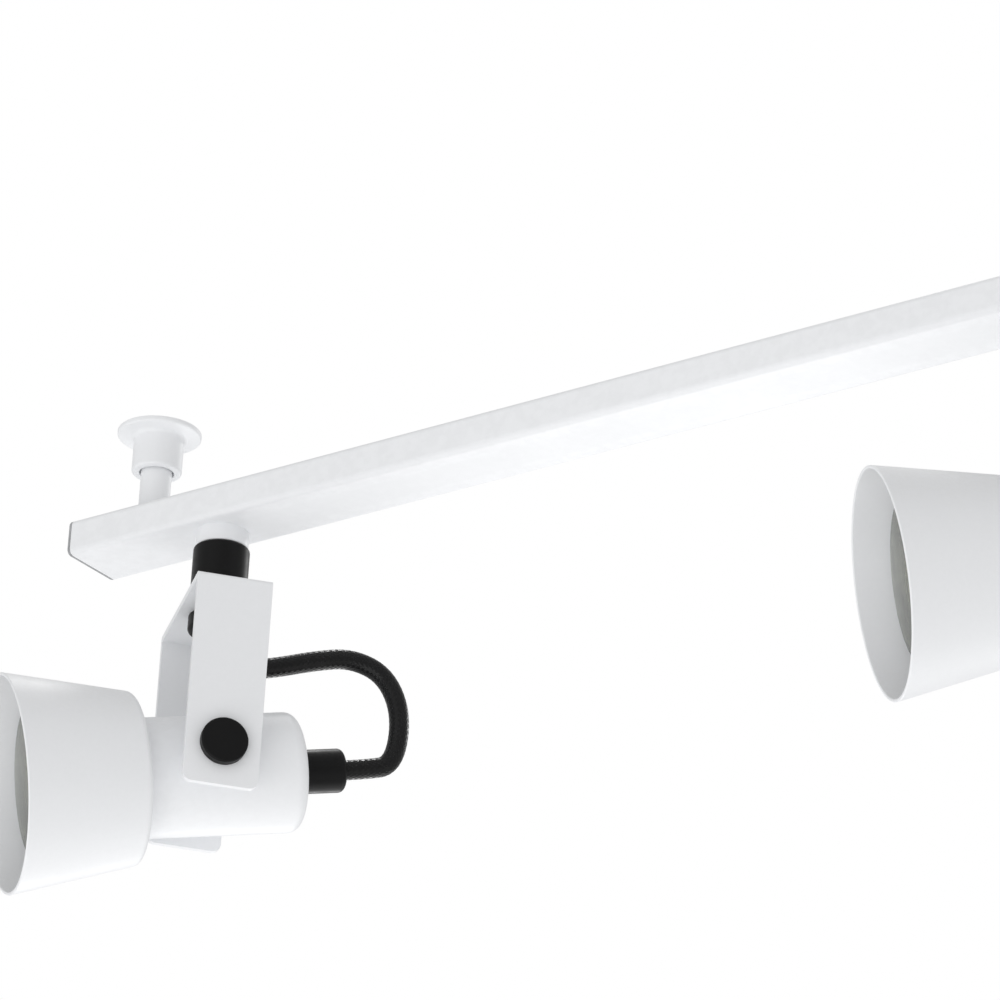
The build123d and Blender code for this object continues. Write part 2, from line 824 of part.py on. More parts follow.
# ---- put everything in its place -----------------------------------------------------
def make_lamp(name):
    """One swivel, yoke and lamp head at its rest pose."""
    side, turn, tilt = lamps[name]
    swivel_place = Pos(side * lamp_spacing / 2, 0, 0)
    yoke_place = swivel_place * Rot(0, 0, 180 + turn)
    head_place = yoke_place * Pos(0, 0, pivot_height) * Rot(0, tilt, 0)
    lamp_axis = head_place * TO_LAMP_AXIS

    save(swivel_place * make_swivel(), f"swivel_sleeve_{name}")
    save(yoke_place * make_yoke(), f"yoke_{name}")
    save(yoke_place * make_stop_pin(), f"stop_pin_{name}")
    save(yoke_place * make_spring_washer(), f"spring_washer_{name}")
    save(yoke_place * make_cable(tilt, name), f"cable_{name}")

    save(lamp_axis * make_housing(), f"lamp_housing_{name}")
    save(lamp_axis * make_front_ring(), f"front_ring_{name}")
    save(lamp_axis * make_shade(), f"shade_{name}")
    save(lamp_axis * make_shade_screws(), f"shade_screws_{name}")
    save(lamp_axis * make_lampholder(), f"lampholder_{name}")
    save(lamp_axis * make_shell_contact(), f"shell_contact_{name}")
    save(lamp_axis * make_centre_contact(), f"centre_contact_{name}")
    save(lamp_axis * make_gland(), f"cable_gland_{name}")
    save(lamp_axis * make_gland_nut(), f"gland_nut_{name}")
    save(head_place * make_pivot_bosses(), f"pivot_bosses_{name}")
    save(head_place * make_pivot_washers(), f"pivot_washers_{name}")
    save(head_place * make_knob(1), f"front_knob_{name}")
    save(head_place * make_knob(-1), f"rear_knob_{name}")
    save(lamp_axis * make_bulb_cap(), f"bulb_cap_{name}")
    save(lamp_axis * make_bulb_reflector(), f"bulb_reflector_{name}")
    save(lamp_axis * make_bulb_lens(), f"bulb_lens_{name}")


def main():
    """Build every piece and write it out."""
    os.makedirs("parts", exist_ok=True)
    save(make_bar(), "bar_tube")
    for name, side in sides.items():
        save(make_end_cap(side), f"end_cap_{name}")
        save(make_wires(side), f"wires_{name}")
    make_standoffs()
    save(make_grommet(), "inlet_grommet")
    save(make_terminal_block(), "terminal_block")
    save(make_terminal_screws(), "terminal_screws")
    make_swivel_groups()
    for name in lamps:
        make_lamp(name)


main()
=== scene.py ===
"""Looks of a ceiling bar with two swivelling spotlights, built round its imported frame.

Sizes in the dataclasses are in millimetres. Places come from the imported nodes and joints, in metres.
"""
import json
import logging
import math
from abc import ABC, abstractmethod
from dataclasses import dataclass, field
from enum import Enum
from typing import ClassVar, Iterable, Mapping, Sequence

import bpy
from mathutils import Matrix, Vector


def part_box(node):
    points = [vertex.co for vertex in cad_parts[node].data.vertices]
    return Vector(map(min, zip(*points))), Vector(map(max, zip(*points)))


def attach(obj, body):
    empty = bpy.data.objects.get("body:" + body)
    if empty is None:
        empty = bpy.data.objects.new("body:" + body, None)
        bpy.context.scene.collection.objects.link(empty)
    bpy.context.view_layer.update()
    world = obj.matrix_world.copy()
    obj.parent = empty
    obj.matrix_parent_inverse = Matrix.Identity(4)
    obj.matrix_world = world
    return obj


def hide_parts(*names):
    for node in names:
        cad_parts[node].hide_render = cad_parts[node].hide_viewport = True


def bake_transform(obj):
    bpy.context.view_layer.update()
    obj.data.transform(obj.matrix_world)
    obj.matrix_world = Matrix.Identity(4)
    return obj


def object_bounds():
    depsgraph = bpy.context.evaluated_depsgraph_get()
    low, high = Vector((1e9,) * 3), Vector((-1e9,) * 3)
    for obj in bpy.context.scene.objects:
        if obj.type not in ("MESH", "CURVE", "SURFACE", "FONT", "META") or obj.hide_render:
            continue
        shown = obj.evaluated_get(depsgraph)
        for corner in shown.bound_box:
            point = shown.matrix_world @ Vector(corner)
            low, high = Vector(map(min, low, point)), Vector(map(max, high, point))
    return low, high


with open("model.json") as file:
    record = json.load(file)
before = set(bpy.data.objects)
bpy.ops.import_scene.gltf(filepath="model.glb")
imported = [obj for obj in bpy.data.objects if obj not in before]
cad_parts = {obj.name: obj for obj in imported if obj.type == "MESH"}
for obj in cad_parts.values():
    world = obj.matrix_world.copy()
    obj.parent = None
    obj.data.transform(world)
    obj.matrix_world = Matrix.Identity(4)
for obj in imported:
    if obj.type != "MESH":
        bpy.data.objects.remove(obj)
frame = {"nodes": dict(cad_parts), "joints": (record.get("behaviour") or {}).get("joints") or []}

CAD_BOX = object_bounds()
MM = 0.001
LOG = logging.getLogger("spotlight")

Outline = list[tuple[float, float]]
Colour = tuple[float, float, float]


# ---- places read from the frame ------------------------------------------------------------------
class Body(Enum):
    """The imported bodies, without the name of the lamp that they belong to."""

    BAR = "bar"
    YOKE = "yoke"
    HEAD = "head"
    FRONT_KNOB = "front_knob"
    REAR_KNOB = "rear_knob"
    BULB = "bulb"

    def of(self, lamp: str) -> str:
        """The body's full name for one lamp."""
        return self.value if self is Body.BAR else f"{self.value}_{lamp}"


def basis(x: Vector, y: Vector, z: Vector, origin: Vector) -> Matrix:
    """A placing matrix from three directions and an origin.

    Args:
        x: Where the piece's own X points.
        y: Where the piece's own Y points.
        z: Where the piece's own Z points.
        origin: Where the piece's own origin goes.

    Returns:
        The matrix that puts the piece in the row frame.
    """
    turn = Matrix((x, y, z)).transposed().to_4x4()
    return Matrix.Translation(origin) @ turn


@dataclass(frozen=True)
class LampPlace:
    """Where one lamp stands at rest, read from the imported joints."""

    name: str
    swivel: Vector
    pivot: Vector
    axis: Vector
    across: Vector

    @classmethod
    def read(cls, name: str) -> "LampPlace":
        """Reads one lamp's place.

        Args:
            name: The lamp, left or right.

        Returns:
            Its swivel, pivot, lamp axis and tilt pin.
        """
        joints = {joint["name"]: joint for joint in frame["joints"]}
        pan = joints[f"pan_{name}"]
        tilt = joints[f"tilt_{name}"]
        slide = joints[f"bulb_out_{name}"]
        return cls(
            name,
            Vector(pan["pos_m"]),
            Vector(tilt["pos_m"]),
            Vector(slide["axis"]).normalized(),
            Vector(tilt["axis"]).normalized(),
        )

    @property
    def forward(self) -> Vector:
        """The level direction that the lamp points in."""
        return self.across.cross(Vector((0, 0, 1)))

    def on_lamp_axis(self) -> Matrix:
        """Turns a piece made along Z on to the lamp axis, from the pivot."""
        return basis(self.across.cross(self.axis), self.across, self.axis, self.pivot)

    def on_yoke(self) -> Matrix:
        """Puts a piece made round the pivot, with X forwards and Y along the pin, in the yoke."""
        return basis(self.forward, self.across, Vector((0, 0, 1)), self.pivot)

    def on_swivel(self, height: float = 0.0) -> Matrix:
        """Puts a piece made along Z on the swivel's axis, with Z as the height in the row frame."""
        return Matrix.Translation((self.swivel.x, self.swivel.y, height))

    def on_pin(self, side: int) -> Matrix:
        """Turns a piece made along Z on to the tilt pin, outwards on one side."""
        out = self.across * side
        return basis(self.axis, out.cross(self.axis), out, self.pivot)


# ---- node trees ----------------------------------------------------------------------------------
class Tree:
    """Adds nodes to a node tree and joins them."""

    def __init__(self, tree: bpy.types.NodeTree) -> None:
        """Keeps the tree that nodes go to."""
        self.tree = tree

    def node(
        self, kind: str, inputs: Mapping[str | int, object] | None = None, **settings: object
    ) -> bpy.types.Node:
        """Adds one node.

        Args:
            kind: The node's type.
            inputs: Values, or sockets to link, by input name or number.
            settings: The node's own properties.

        Returns:
            The new node.
        """
        made = self.tree.nodes.new(kind)
        for key, value in settings.items():
            setattr(made, key, value)
        for key, value in (inputs or {}).items():
            self.feed(made.inputs[key], value)
        return made

    def feed(self, socket: bpy.types.NodeSocket, value: object) -> None:
        """Links a socket to another, or sets its value."""
        if isinstance(value, bpy.types.NodeSocket):
            self.tree.links.new(value, socket)
        else:
            socket.default_value = value

    def math(self, operation: str, *values: object) -> bpy.types.NodeSocket:
        """Adds a Math node and returns its result."""
        made = self.node("ShaderNodeMath", operation=operation)
        for socket, value in zip(made.inputs, values):
            self.feed(socket, value)
        return made.outputs[0]

    def blend(self, share: object, low: object, high: object) -> bpy.types.NodeSocket:
        """Mixes two colours by a share and returns the result."""
        made = self.node("ShaderNodeMix", data_type="RGBA")
        for socket, value in ((made.inputs[0], share), (made.inputs[6], low), (made.inputs[7], high)):
            self.feed(socket, value)
        return made.outputs[2]

    def noise(self, vector: object, scale: object, **inputs: float) -> bpy.types.NodeSocket:
        """Adds a Noise Texture and returns its value."""
        return self.node("ShaderNodeTexNoise", {"Vector": vector, "Scale": scale, **inputs}).outputs[0]

    def stretch(
        self, value: object, low: float, high: float, start: float = 0.0, end: float = 1.0
    ) -> bpy.types.NodeSocket:
        """Maps a value from one range to another, clamped."""
        inputs = {"Value": value, "From Min": start, "From Max": end, "To Min": low, "To Max": high}
        return self.node("ShaderNodeMapRange", inputs).outputs[0]


def group_of(
    name: str, kind: str, inputs: Sequence[tuple], outputs: Sequence[tuple]
) -> tuple[Tree, bpy.types.NodeOutputs]:
    """Starts a node group with named sockets.

    Args:
        name: The group's name.
        kind: ShaderNodeTree or GeometryNodeTree.
        inputs: (name, socket type, default or None) of each input.
        outputs: (name, socket type) of each output.

    Returns:
        The tree and the sockets of its inputs.
    """
    group = bpy.data.node_groups.new(name, kind)
    for label, socket, default in inputs:
        made = group.interface.new_socket(name=label, in_out="INPUT", socket_type=socket)
        if default is not None:
            made.default_value = default
    for label, socket in outputs:
        group.interface.new_socket(name=label, in_out="OUTPUT", socket_type=socket)
    if kind == "GeometryNodeTree":
        group.is_modifier = True
    tree = Tree(group)
    return tree, tree.node("NodeGroupInput").outputs


FLOAT = "NodeSocketFloat"
INT = "NodeSocketInt"
VECTOR = "NodeSocketVector"
GEOMETRY = "NodeSocketGeometry"
MATERIAL = "NodeSocketMaterial"


class Effect(Enum):
    """Surface effects that several finishes share, each built once as a shader group."""

    GRAIN = "surface_grain"
    DUST = "settled_dust"
    # Edge mask: worn edges on plastic and metal, painted highlight on the white powder coat.
    EDGE = "edge_wear_and_highlight"
    MARKS = "handling_marks"

    def group(self) -> bpy.types.NodeTree:
        """Returns the effect's node group, building it the first time."""
        found = bpy.data.node_groups.get(self.value)
        if found is None:
            builders = {
                Effect.GRAIN: build_grain,
                Effect.DUST: build_dust,
                Effect.EDGE: build_edge,
                Effect.MARKS: build_marks,
            }
            found = builders[self]()
        return found


def build_grain() -> bpy.types.NodeTree:
    """Fine and coarse grain.

    Returns:
        A group with the grain's height and a broad mask that drifts over the surface.
    """
    inputs = [
        ("Vector", VECTOR, None),
        ("Scale", FLOAT, 1500.0),
        ("Coarse Share", FLOAT, 0.6),
        ("Drift Scale", FLOAT, 30.0),
    ]
    tree, given = group_of(
        Effect.GRAIN.value, "ShaderNodeTree", inputs, [("Height", FLOAT), ("Drift", FLOAT)]
    )
    coarse = tree.noise(given["Vector"], given["Scale"], Detail=2.0)
    fine_scale = tree.math("MULTIPLY", given["Scale"], 3.1)
    fine = tree.noise(given["Vector"], fine_scale, Detail=1.0)
    part = tree.math("MULTIPLY", coarse, given["Coarse Share"])
    rest = tree.math("SUBTRACT", 1.0, given["Coarse Share"])
    height = tree.math("MULTIPLY_ADD", fine, rest, part)
    drift = tree.noise(given["Vector"], given["Drift Scale"], Detail=4.0, Roughness=0.6)
    tree.node("NodeGroupOutput", {"Height": height, "Drift": tree.stretch(drift, 0.0, 1.0, 0.3, 0.7)})
    return tree.tree


def build_dust() -> bpy.types.NodeTree:
    """Dust that settles on faces that look up.

    Returns:
        A group with the dust's mask.
    """
    inputs = [("Vector", VECTOR, None), ("Amount", FLOAT, 0.3), ("Scale", FLOAT, 400.0)]
    tree, given = group_of(Effect.DUST.value, "ShaderNodeTree", inputs, [("Mask", FLOAT)])
    normal = tree.node("ShaderNodeNewGeometry").outputs["Normal"]
    level = tree.node("ShaderNodeSeparateXYZ", {0: normal}).outputs[2]
    facing = tree.stretch(level, 0.0, 1.0, 0.25, 0.95)
    specks = tree.noise(given["Vector"], given["Scale"], Detail=5.0, Roughness=0.7)
    density = tree.stretch(specks, 0.15, 1.0, 0.35, 0.68)
    mask = tree.math("MULTIPLY", tree.math("MULTIPLY", facing, density), given["Amount"])
    tree.node("NodeGroupOutput", {"Mask": mask})
    return tree.tree


def build_edge() -> bpy.types.NodeTree:
    """A broken-up mask along outer edges: rubbed wear on plastic and metal, painted highlight on the
    white powder coat.

    Returns:
        A group with the mask of the edges.
    """
    inputs = [("Vector", VECTOR, None), ("Amount", FLOAT, 0.3), ("Break Up Scale", FLOAT, 300.0)]
    tree, given = group_of(Effect.EDGE.value, "ShaderNodeTree", inputs, [("Mask", FLOAT)])
    sharp = tree.node("ShaderNodeNewGeometry").outputs["Pointiness"]
    edge = tree.stretch(sharp, 0.0, 1.0, 0.52, 0.62)
    broken = tree.noise(given["Vector"], given["Break Up Scale"], Detail=3.0)
    kept = tree.stretch(broken, 0.35, 1.0, 0.4, 0.6)
    mask = tree.math("MULTIPLY", tree.math("MULTIPLY", edge, kept), given["Amount"])
    tree.node("NodeGroupOutput", {"Mask": mask})
    return tree.tree


def build_marks() -> bpy.types.NodeTree:
    """Smudges and hairline scratches from handling.

    Returns:
        A group with the mask of the smudges and the height of the scratches.
    """
    inputs = [("Vector", VECTOR, None), ("Smudge Scale", FLOAT, 60.0), ("Scratch Scale", FLOAT, 500.0)]
    tree, given = group_of(
        Effect.MARKS.value, "ShaderNodeTree", inputs, [("Smudges", FLOAT), ("Scratches", FLOAT)]
    )
    smudge = tree.noise(given["Vector"], given["Smudge Scale"], Detail=6.0, Distortion=0.8)
    streak = tree.node(
        "ShaderNodeMapping",
        {"Vector": given["Vector"], "Rotation": (0.6, 0.3, 0.9), "Scale": (1.0, 0.04, 0.3)},
    )
    line = tree.node(
        "ShaderNodeTexVoronoi",
        {"Vector": streak.outputs[0], "Scale": given["Scratch Scale"]},
        feature="DISTANCE_TO_EDGE",
    )
    tree.node(
        "NodeGroupOutput",
        {
            "Smudges": tree.stretch(smudge, 0.0, 1.0, 0.42, 0.66),
            "Scratches": tree.stretch(line.outputs["Distance"], 0.0, 1.0, 0.0, 0.02),
        },
    )
    return tree.tree


# ---- finishes ------------------------------------------------------------------------------------
class Recipe(Tree):
    """A material being made: its nodes, its coordinates and its shader."""

    def __init__(self, name: str) -> None:
        """Starts a material with one Principled shader."""
        self.material = bpy.data.materials.new(name)
        self.material.use_nodes = True
        super().__init__(self.material.node_tree)
        self.shader = self.tree.nodes["Principled BSDF"]
        self.coordinates = self.node("ShaderNodeTexCoord")

    @property
    def place(self) -> bpy.types.NodeSocket:
        """The Object coordinates."""
        return self.coordinates.outputs["Object"]

    def effect(self, effect: Effect, **inputs: object) -> bpy.types.Node:
        """Places a shared effect.

        Args:
            effect: Which effect.
            inputs: Its values, with underscores for spaces.

        Returns:
            The group node.
        """
        made = self.node("ShaderNodeGroup", node_tree=effect.group())
        self.feed(made.inputs["Vector"], self.place)
        for key, value in inputs.items():
            self.feed(made.inputs[key.replace("_", " ").title()], value)
        return made

    def shade(self, **inputs: object) -> None:
        """Sets or links the shader's own sockets, with underscores for spaces."""
        for key, value in inputs.items():
            self.feed(self.shader.inputs[key.replace("_", " ")], value)

    def bump(
        self, height: object, distance: float, strength: float = 1.0, under: object = None
    ) -> bpy.types.NodeSocket:
        """Turns a height into a normal.

        Args:
            height: The height's socket.
            distance: How high a height of one stands, in metres.
            strength: The bump's share.
            under: A normal to build on, if any.

        Returns:
            The normal's socket.
        """
        made = self.node(
            "ShaderNodeBump", {"Height": height, "Distance": distance, "Strength": strength}
        )
        if under is not None:
            self.feed(made.inputs["Normal"], under)
        return made.outputs[0]


def rgba(colour: Colour, share: float = 1.0) -> tuple[float, float, float, float]:
    """A colour with its alpha, darkened or lightened by a share."""
    return (*(min(channel * share, 1.0) for channel in colour), 1.0)


@dataclass(frozen=True)
class Finish(ABC):
    """A surface finish, whose material is made once."""

    name: str
    slot: str
    made: ClassVar[dict[str, bpy.types.Material]] = {}

    def material(self) -> bpy.types.Material:
        """The finish's material."""
        if self.name not in Finish.made:
            recipe = Recipe(self.name)
            self.compose(recipe)
            Finish.made[self.name] = recipe.material
        return Finish.made[self.name]

    @abstractmethod
    def compose(self, recipe: Recipe) -> None:
        """Builds the material's nodes."""


@dataclass(frozen=True)
class PowderCoat(Finish):
    """Satin powder coat with a fine orange peel and faint mottling."""

    colour: Colour = (0.885, 0.895, 0.912)
    peel_scale: float = 1150.0
    peel_depth: float = 0.000022
    roughness: tuple[float, float] = (0.40, 0.50)
    dust: float = 0.22

    def compose(self, recipe: Recipe) -> None:
        """Mottled white, orange peel bump, a painted highlight along thin edges and a little dust on
        top.
        """
        grain = recipe.effect(Effect.GRAIN, scale=self.peel_scale, coarse_share=0.7, drift_scale=26.0)
        mottle = recipe.effect(Effect.GRAIN, scale=620.0, coarse_share=0.75, drift_scale=120.0)
        shade = recipe.math(
            "MULTIPLY_ADD",
            mottle.outputs["Height"],
            0.8,
            recipe.math("MULTIPLY", grain.outputs["Drift"], 0.2),
        )
        base = recipe.blend(shade, rgba(self.colour, 0.972), rgba(self.colour, 1.02))
        # Painted highlight: convex edges of the white coat are lightened as if they catch the light.
        edge = recipe.effect(Effect.EDGE, amount=0.5, break_up_scale=240.0)
        lit = recipe.blend(edge.outputs[0], base, rgba(self.colour, 1.08))
        dust = recipe.effect(Effect.DUST, amount=self.dust, scale=520.0)
        low, high = self.roughness
        matte = recipe.math(
            "ADD",
            recipe.stretch(grain.outputs["Drift"], low, high),
            recipe.math("MULTIPLY", dust.outputs[0], 0.3),
        )
        recipe.shade(
            Base_Color=recipe.blend(dust.outputs[0], lit, rgba((0.70, 0.68, 0.64))),
            Roughness=matte,
            Normal=recipe.bump(grain.outputs["Height"], self.peel_depth, 0.9),
        )


@dataclass(frozen=True)
class Moulding(Finish):
    """Moulded or sprayed plastic with fine spark-eroded grain."""

    colour: Colour = (0.0038, 0.0038, 0.004)
    grain_scale: float = 2600.0
    grain_depth: float = 0.000012
    roughness: tuple[float, float] = (0.36, 0.50)
    gloss: float = 0.17

    def compose(self, recipe: Recipe) -> None:
        """Fine grain, faint smudges, hairline scratches and rubbed edges."""
        grain = recipe.effect(Effect.GRAIN, scale=self.grain_scale, coarse_share=0.5, drift_scale=70.0)
        marks = recipe.effect(Effect.MARKS, smudge_scale=85.0, scratch_scale=260.0)
        edge = recipe.effect(Effect.EDGE, amount=0.35, break_up_scale=500.0)
        dust = recipe.effect(Effect.DUST, amount=0.12, scale=900.0)
        base = recipe.blend(grain.outputs["Drift"], rgba(self.colour, 0.85), rgba(self.colour, 1.2))
        rubbed = recipe.blend(edge.outputs[0], base, rgba(self.colour, 2.4))
        low, high = self.roughness
        matte = recipe.math(
            "MULTIPLY_ADD",
            marks.outputs["Smudges"],
            -0.06,
            recipe.stretch(grain.outputs["Drift"], low, high),
        )
        normal = recipe.bump(marks.outputs["Scratches"], 0.000004, 0.5)
        recipe.shade(
            Base_Color=recipe.blend(dust.outputs[0], rubbed, rgba((0.35, 0.34, 0.32))),
            Roughness=matte,
            Specular_IOR_Level=self.gloss,
            Normal=recipe.bump(grain.outputs["Height"], self.grain_depth, 0.8, normal),
        )


@dataclass(frozen=True)
class BareMetal(Finish):
    """Plated, cast or drawn metal."""

    colour: Colour = (0.62, 0.63, 0.64)
    grain_scale: float = 1800.0
    grain_depth: float = 0.00001
    roughness: tuple[float, float] = (0.24, 0.42)
    tarnish: Colour = (0.42, 0.42, 0.40)

    def compose(self, recipe: Recipe) -> None:
        """Patchy plating, worn edges and tool marks."""
        grain = recipe.effect(Effect.GRAIN, scale=self.grain_scale, coarse_share=0.6, drift_scale=140.0)
        marks = recipe.effect(Effect.MARKS, smudge_scale=160.0, scratch_scale=420.0)
        edge = recipe.effect(Effect.EDGE, amount=0.7, break_up_scale=700.0)
        base = recipe.blend(grain.outputs["Drift"], rgba(self.colour, 0.9), rgba(self.colour, 1.08))
        stained = recipe.blend(
            recipe.math("MULTIPLY", marks.outputs["Smudges"], 0.5), base, rgba(self.tarnish)
        )
        low, high = self.roughness
        matte = recipe.math(
            "MULTIPLY_ADD",
            marks.outputs["Smudges"],
            0.1,
            recipe.stretch(grain.outputs["Drift"], low, high),
        )
        normal = recipe.bump(marks.outputs["Scratches"], 0.000006, 0.7)
        recipe.shade(
            Base_Color=recipe.blend(edge.outputs[0], stained, rgba(self.colour, 1.25)),
            Metallic=1.0,
            Roughness=matte,
            Normal=recipe.bump(grain.outputs["Height"], self.grain_depth, 0.8, normal),
        )


@dataclass(frozen=True)
class Ceramic(Finish):
    """Unglazed steatite with fine speckles."""

    colour: Colour = (0.74, 0.72, 0.67)

    def compose(self, recipe: Recipe) -> None:
        """Off-white body, dark specks and a thin glaze."""
        grain = recipe.effect(Effect.GRAIN, scale=1400.0, coarse_share=0.6, drift_scale=50.0)
        specks = recipe.node(
            "ShaderNodeTexVoronoi", {"Vector": recipe.place, "Scale": 900.0, "Randomness": 1.0}
        )
        spot = recipe.stretch(specks.outputs["Distance"], 1.0, 0.0, 0.06, 0.16)
        base = recipe.blend(grain.outputs["Drift"], rgba(self.colour, 0.93), rgba(self.colour, 1.05))
        recipe.shade(
            Base_Color=recipe.blend(
                recipe.math("MULTIPLY", spot, 0.45), base, rgba((0.30, 0.26, 0.21))
            ),
            Roughness=recipe.stretch(grain.outputs["Drift"], 0.42, 0.6),
            Coat_Weight=recipe.stretch(grain.outputs["Drift"], 0.1, 0.3),
            Normal=recipe.bump(grain.outputs["Height"], 0.00003),
        )


@dataclass(frozen=True)
class WireInsulation(Finish):
    """Three insulated cores that lie side by side: brown, green with yellow, and blue."""

    core_edge: float = 1.3 * MM
    stripe_scale: float = 160.0

    def compose(self, recipe: Recipe) -> None:
        """Picks each core's colour by its side of the bar, and stripes the middle one."""
        across = recipe.node("ShaderNodeSeparateXYZ", {0: recipe.place})
        brown_side = recipe.math("LESS_THAN", across.outputs[1], -self.core_edge)
        blue_side = recipe.math("GREATER_THAN", across.outputs[1], self.core_edge)
        wave = recipe.node(
            "ShaderNodeTexWave", {"Vector": recipe.place, "Scale": self.stripe_scale, "Distortion": 0.4}
        )
        stripe = recipe.stretch(wave.outputs["Fac"], 0.0, 1.0, 0.45, 0.55)
        earth = recipe.blend(stripe, rgba((0.05, 0.24, 0.04)), rgba((0.62, 0.50, 0.03)))
        with_brown = recipe.blend(brown_side, earth, rgba((0.12, 0.045, 0.018)))
        grain = recipe.effect(Effect.GRAIN, scale=2400.0, coarse_share=0.5, drift_scale=90.0)
        recipe.shade(
            Base_Color=recipe.blend(blue_side, with_brown, rgba((0.02, 0.09, 0.34))),
            Roughness=recipe.stretch(grain.outputs["Drift"], 0.32, 0.46),
            Normal=recipe.bump(grain.outputs["Height"], 0.000012),
        )


@dataclass(frozen=True)
class BraidedSleeve(Finish):
    """Varnished black glass-fibre braid. Reads the sleeve's own UV map: turns, and metres along."""

    strands: int = 16
    cell: float = 2.3 * MM
    filaments: float = 6.0
    colour: Colour = (0.0035, 0.0035, 0.0037)

    def compose(self, recipe: Recipe) -> None:
        """Filaments that follow the upper strand of each crossing, under an uneven varnish, and painted
        shade that darkens the gaps between strands.
        """
        flat = recipe.node("ShaderNodeSeparateXYZ", {0: recipe.coordinates.outputs["UV"]})
        turn = recipe.math("MULTIPLY", flat.outputs[0], float(self.strands))
        run = recipe.math("DIVIDE", flat.outputs[1], self.cell)
        first = recipe.math("ADD", turn, run)
        second = recipe.math("SUBTRACT", turn, run)
        cells = recipe.math("ADD", recipe.math("FLOOR", first), recipe.math("FLOOR", second))
        upper = recipe.math("FLOORED_MODULO", cells, 2.0)
        across = recipe.node(
            "ShaderNodeMix", {0: upper, 2: first, 3: second}, data_type="FLOAT"
        ).outputs[0]
        ridge = recipe.math("SINE", recipe.math("MULTIPLY", across, self.filaments * math.tau))
        near = recipe.math("ABSOLUTE", recipe.math("SUBTRACT", recipe.math("FRACT", across), 0.5))
        gap = recipe.stretch(near, 0.0, 1.0, 0.40, 0.5)
        grain = recipe.effect(Effect.GRAIN, scale=2200.0, coarse_share=0.6, drift_scale=220.0)
        height = recipe.math("MULTIPLY_ADD", gap, -3.0, ridge)
        recipe.shade(
            # Painted shade: the gaps between strands are darkened well below the sleeve's own black.
            Base_Color=recipe.blend(gap, rgba(self.colour, 1.3), rgba(self.colour, 0.3)),
            Roughness=recipe.stretch(grain.outputs["Drift"], 0.24, 0.34),
            Specular_IOR_Level=0.16,
            Coat_Weight=recipe.stretch(grain.outputs["Drift"], 0.22, 0.12),
            Coat_Roughness=0.16,
            Normal=recipe.bump(height, 0.000003, 0.6),
        )


@dataclass(frozen=True)
class LensGlass(Finish):
    """Pressed glass with a faint green tint."""

    colour: Colour = (0.74, 0.76, 0.63)
    shaded: float = 0.35

    def compose(self, recipe: Recipe) -> None:
        """Uneven tinted glass, with drawn streaks that let less light through."""
        grain = recipe.effect(Effect.GRAIN, scale=500.0, coarse_share=0.8, drift_scale=60.0)
        drawn = recipe.node(
            "ShaderNodeMapping", {"Vector": recipe.place, "Scale": (420.0, 420.0, 40.0)}
        )
        streaks = recipe.noise(drawn.outputs[0], 1.0, Detail=2.0)
        amount = recipe.stretch(streaks, 0.0, 1.0, 0.42, 0.6)
        recipe.shade(
            Base_Color=recipe.blend(amount, rgba(self.colour, self.shaded), rgba(self.colour, 1.05)),
            Roughness=recipe.stretch(grain.outputs["Drift"], 0.03, 0.09),
            Transmission_Weight=1.0,
            IOR=1.5,
            Normal=recipe.bump(grain.outputs["Height"], 0.00002, 0.6),
        )


WHITE_PAINT = PowderCoat("white_powder_coat", "painted_white")
BLACK_SATIN = Moulding("black_satin_plastic", "black_plastic")
GREY_PLASTIC = Moulding(
    "grey_cap_plastic", "grey_plastic", (0.33, 0.335, 0.345), 2200.0, 0.00001, (0.4, 0.52), 0.4
)
WHITE_PLASTIC = Moulding(
    "terminal_plastic", "white_plastic", (0.62, 0.61, 0.57), 1600.0, 0.00001, (0.3, 0.42), 0.5
)
SOFT_RUBBER = Moulding(
    "grommet_rubber", "rubber", (0.018, 0.018, 0.018), 1300.0, 0.00003, (0.55, 0.7), 0.3
)
ZINC = BareMetal("zinc_plate", "zinc_steel")
CAST_ALUMINIUM = BareMetal(
    "cast_aluminium", "cast_aluminium", (0.66, 0.66, 0.67), 700.0, 0.00006, (0.42, 0.6), (0.4, 0.4, 0.4)
)
BRASS = BareMetal(
    "stamped_brass", "brass", (0.70, 0.47, 0.16), 1500.0, 0.00001, (0.22, 0.38), (0.36, 0.2, 0.07)
)
NICKEL = BareMetal(
    "nickel_plate", "nickel", (0.66, 0.62, 0.56), 1200.0, 0.00001, (0.16, 0.3), (0.4, 0.36, 0.3)
)
MIRROR = BareMetal(
    "mirrored_glass", "bulb_mirror", (0.66, 0.68, 0.63), 260.0, 0.00002, (0.05, 0.13), (0.6, 0.6, 0.57)
)
STEATITE = Ceramic("steatite", "ceramic")
CORES = WireInsulation("core_insulation", "wire_insulation")
SLEEVE = BraidedSleeve("braided_sleeve", "cable_black")
GLASS = LensGlass("pressed_glass", "bulb_glass")


# ---- mesh making ---------------------------------------------------------------------------------
def softened(corners: Iterable[tuple], steps: int = 7) -> Outline:
    """Rounds the corners of a closed outline.

    Args:
        corners: (radius, height) or (radius, height, rounding) of each corner, in millimetres.
        steps: How many pieces each rounding has.

    Returns:
        The outline's points.
    """
    listed = [(Vector(corner[:2]), corner[2] if len(corner) > 2 else 0.0) for corner in corners]
    outline: Outline = []
    for index, (point, rounding) in enumerate(listed):
        if rounding <= 0:
            outline.append((point.x, point.y))
            continue
        before = (listed[index - 1][0] - point).normalized()
        after = (listed[(index + 1) % len(listed)][0] - point).normalized()
        half = before.angle(after) / 2
        reach = rounding / math.tan(half)
        centre = point + (before + after).normalized() * (rounding / math.sin(half))
        start = point + before * reach - centre
        end = point + after * reach - centre
        sweep = start.angle(end)
        for step in range(steps + 1):
            share = step / steps
            first = math.sin((1 - share) * sweep) / math.sin(sweep)
            second = math.sin(share * sweep) / math.sin(sweep)
            spot = centre + start * first + end * second
            outline.append((spot.x, spot.y))
    return outline


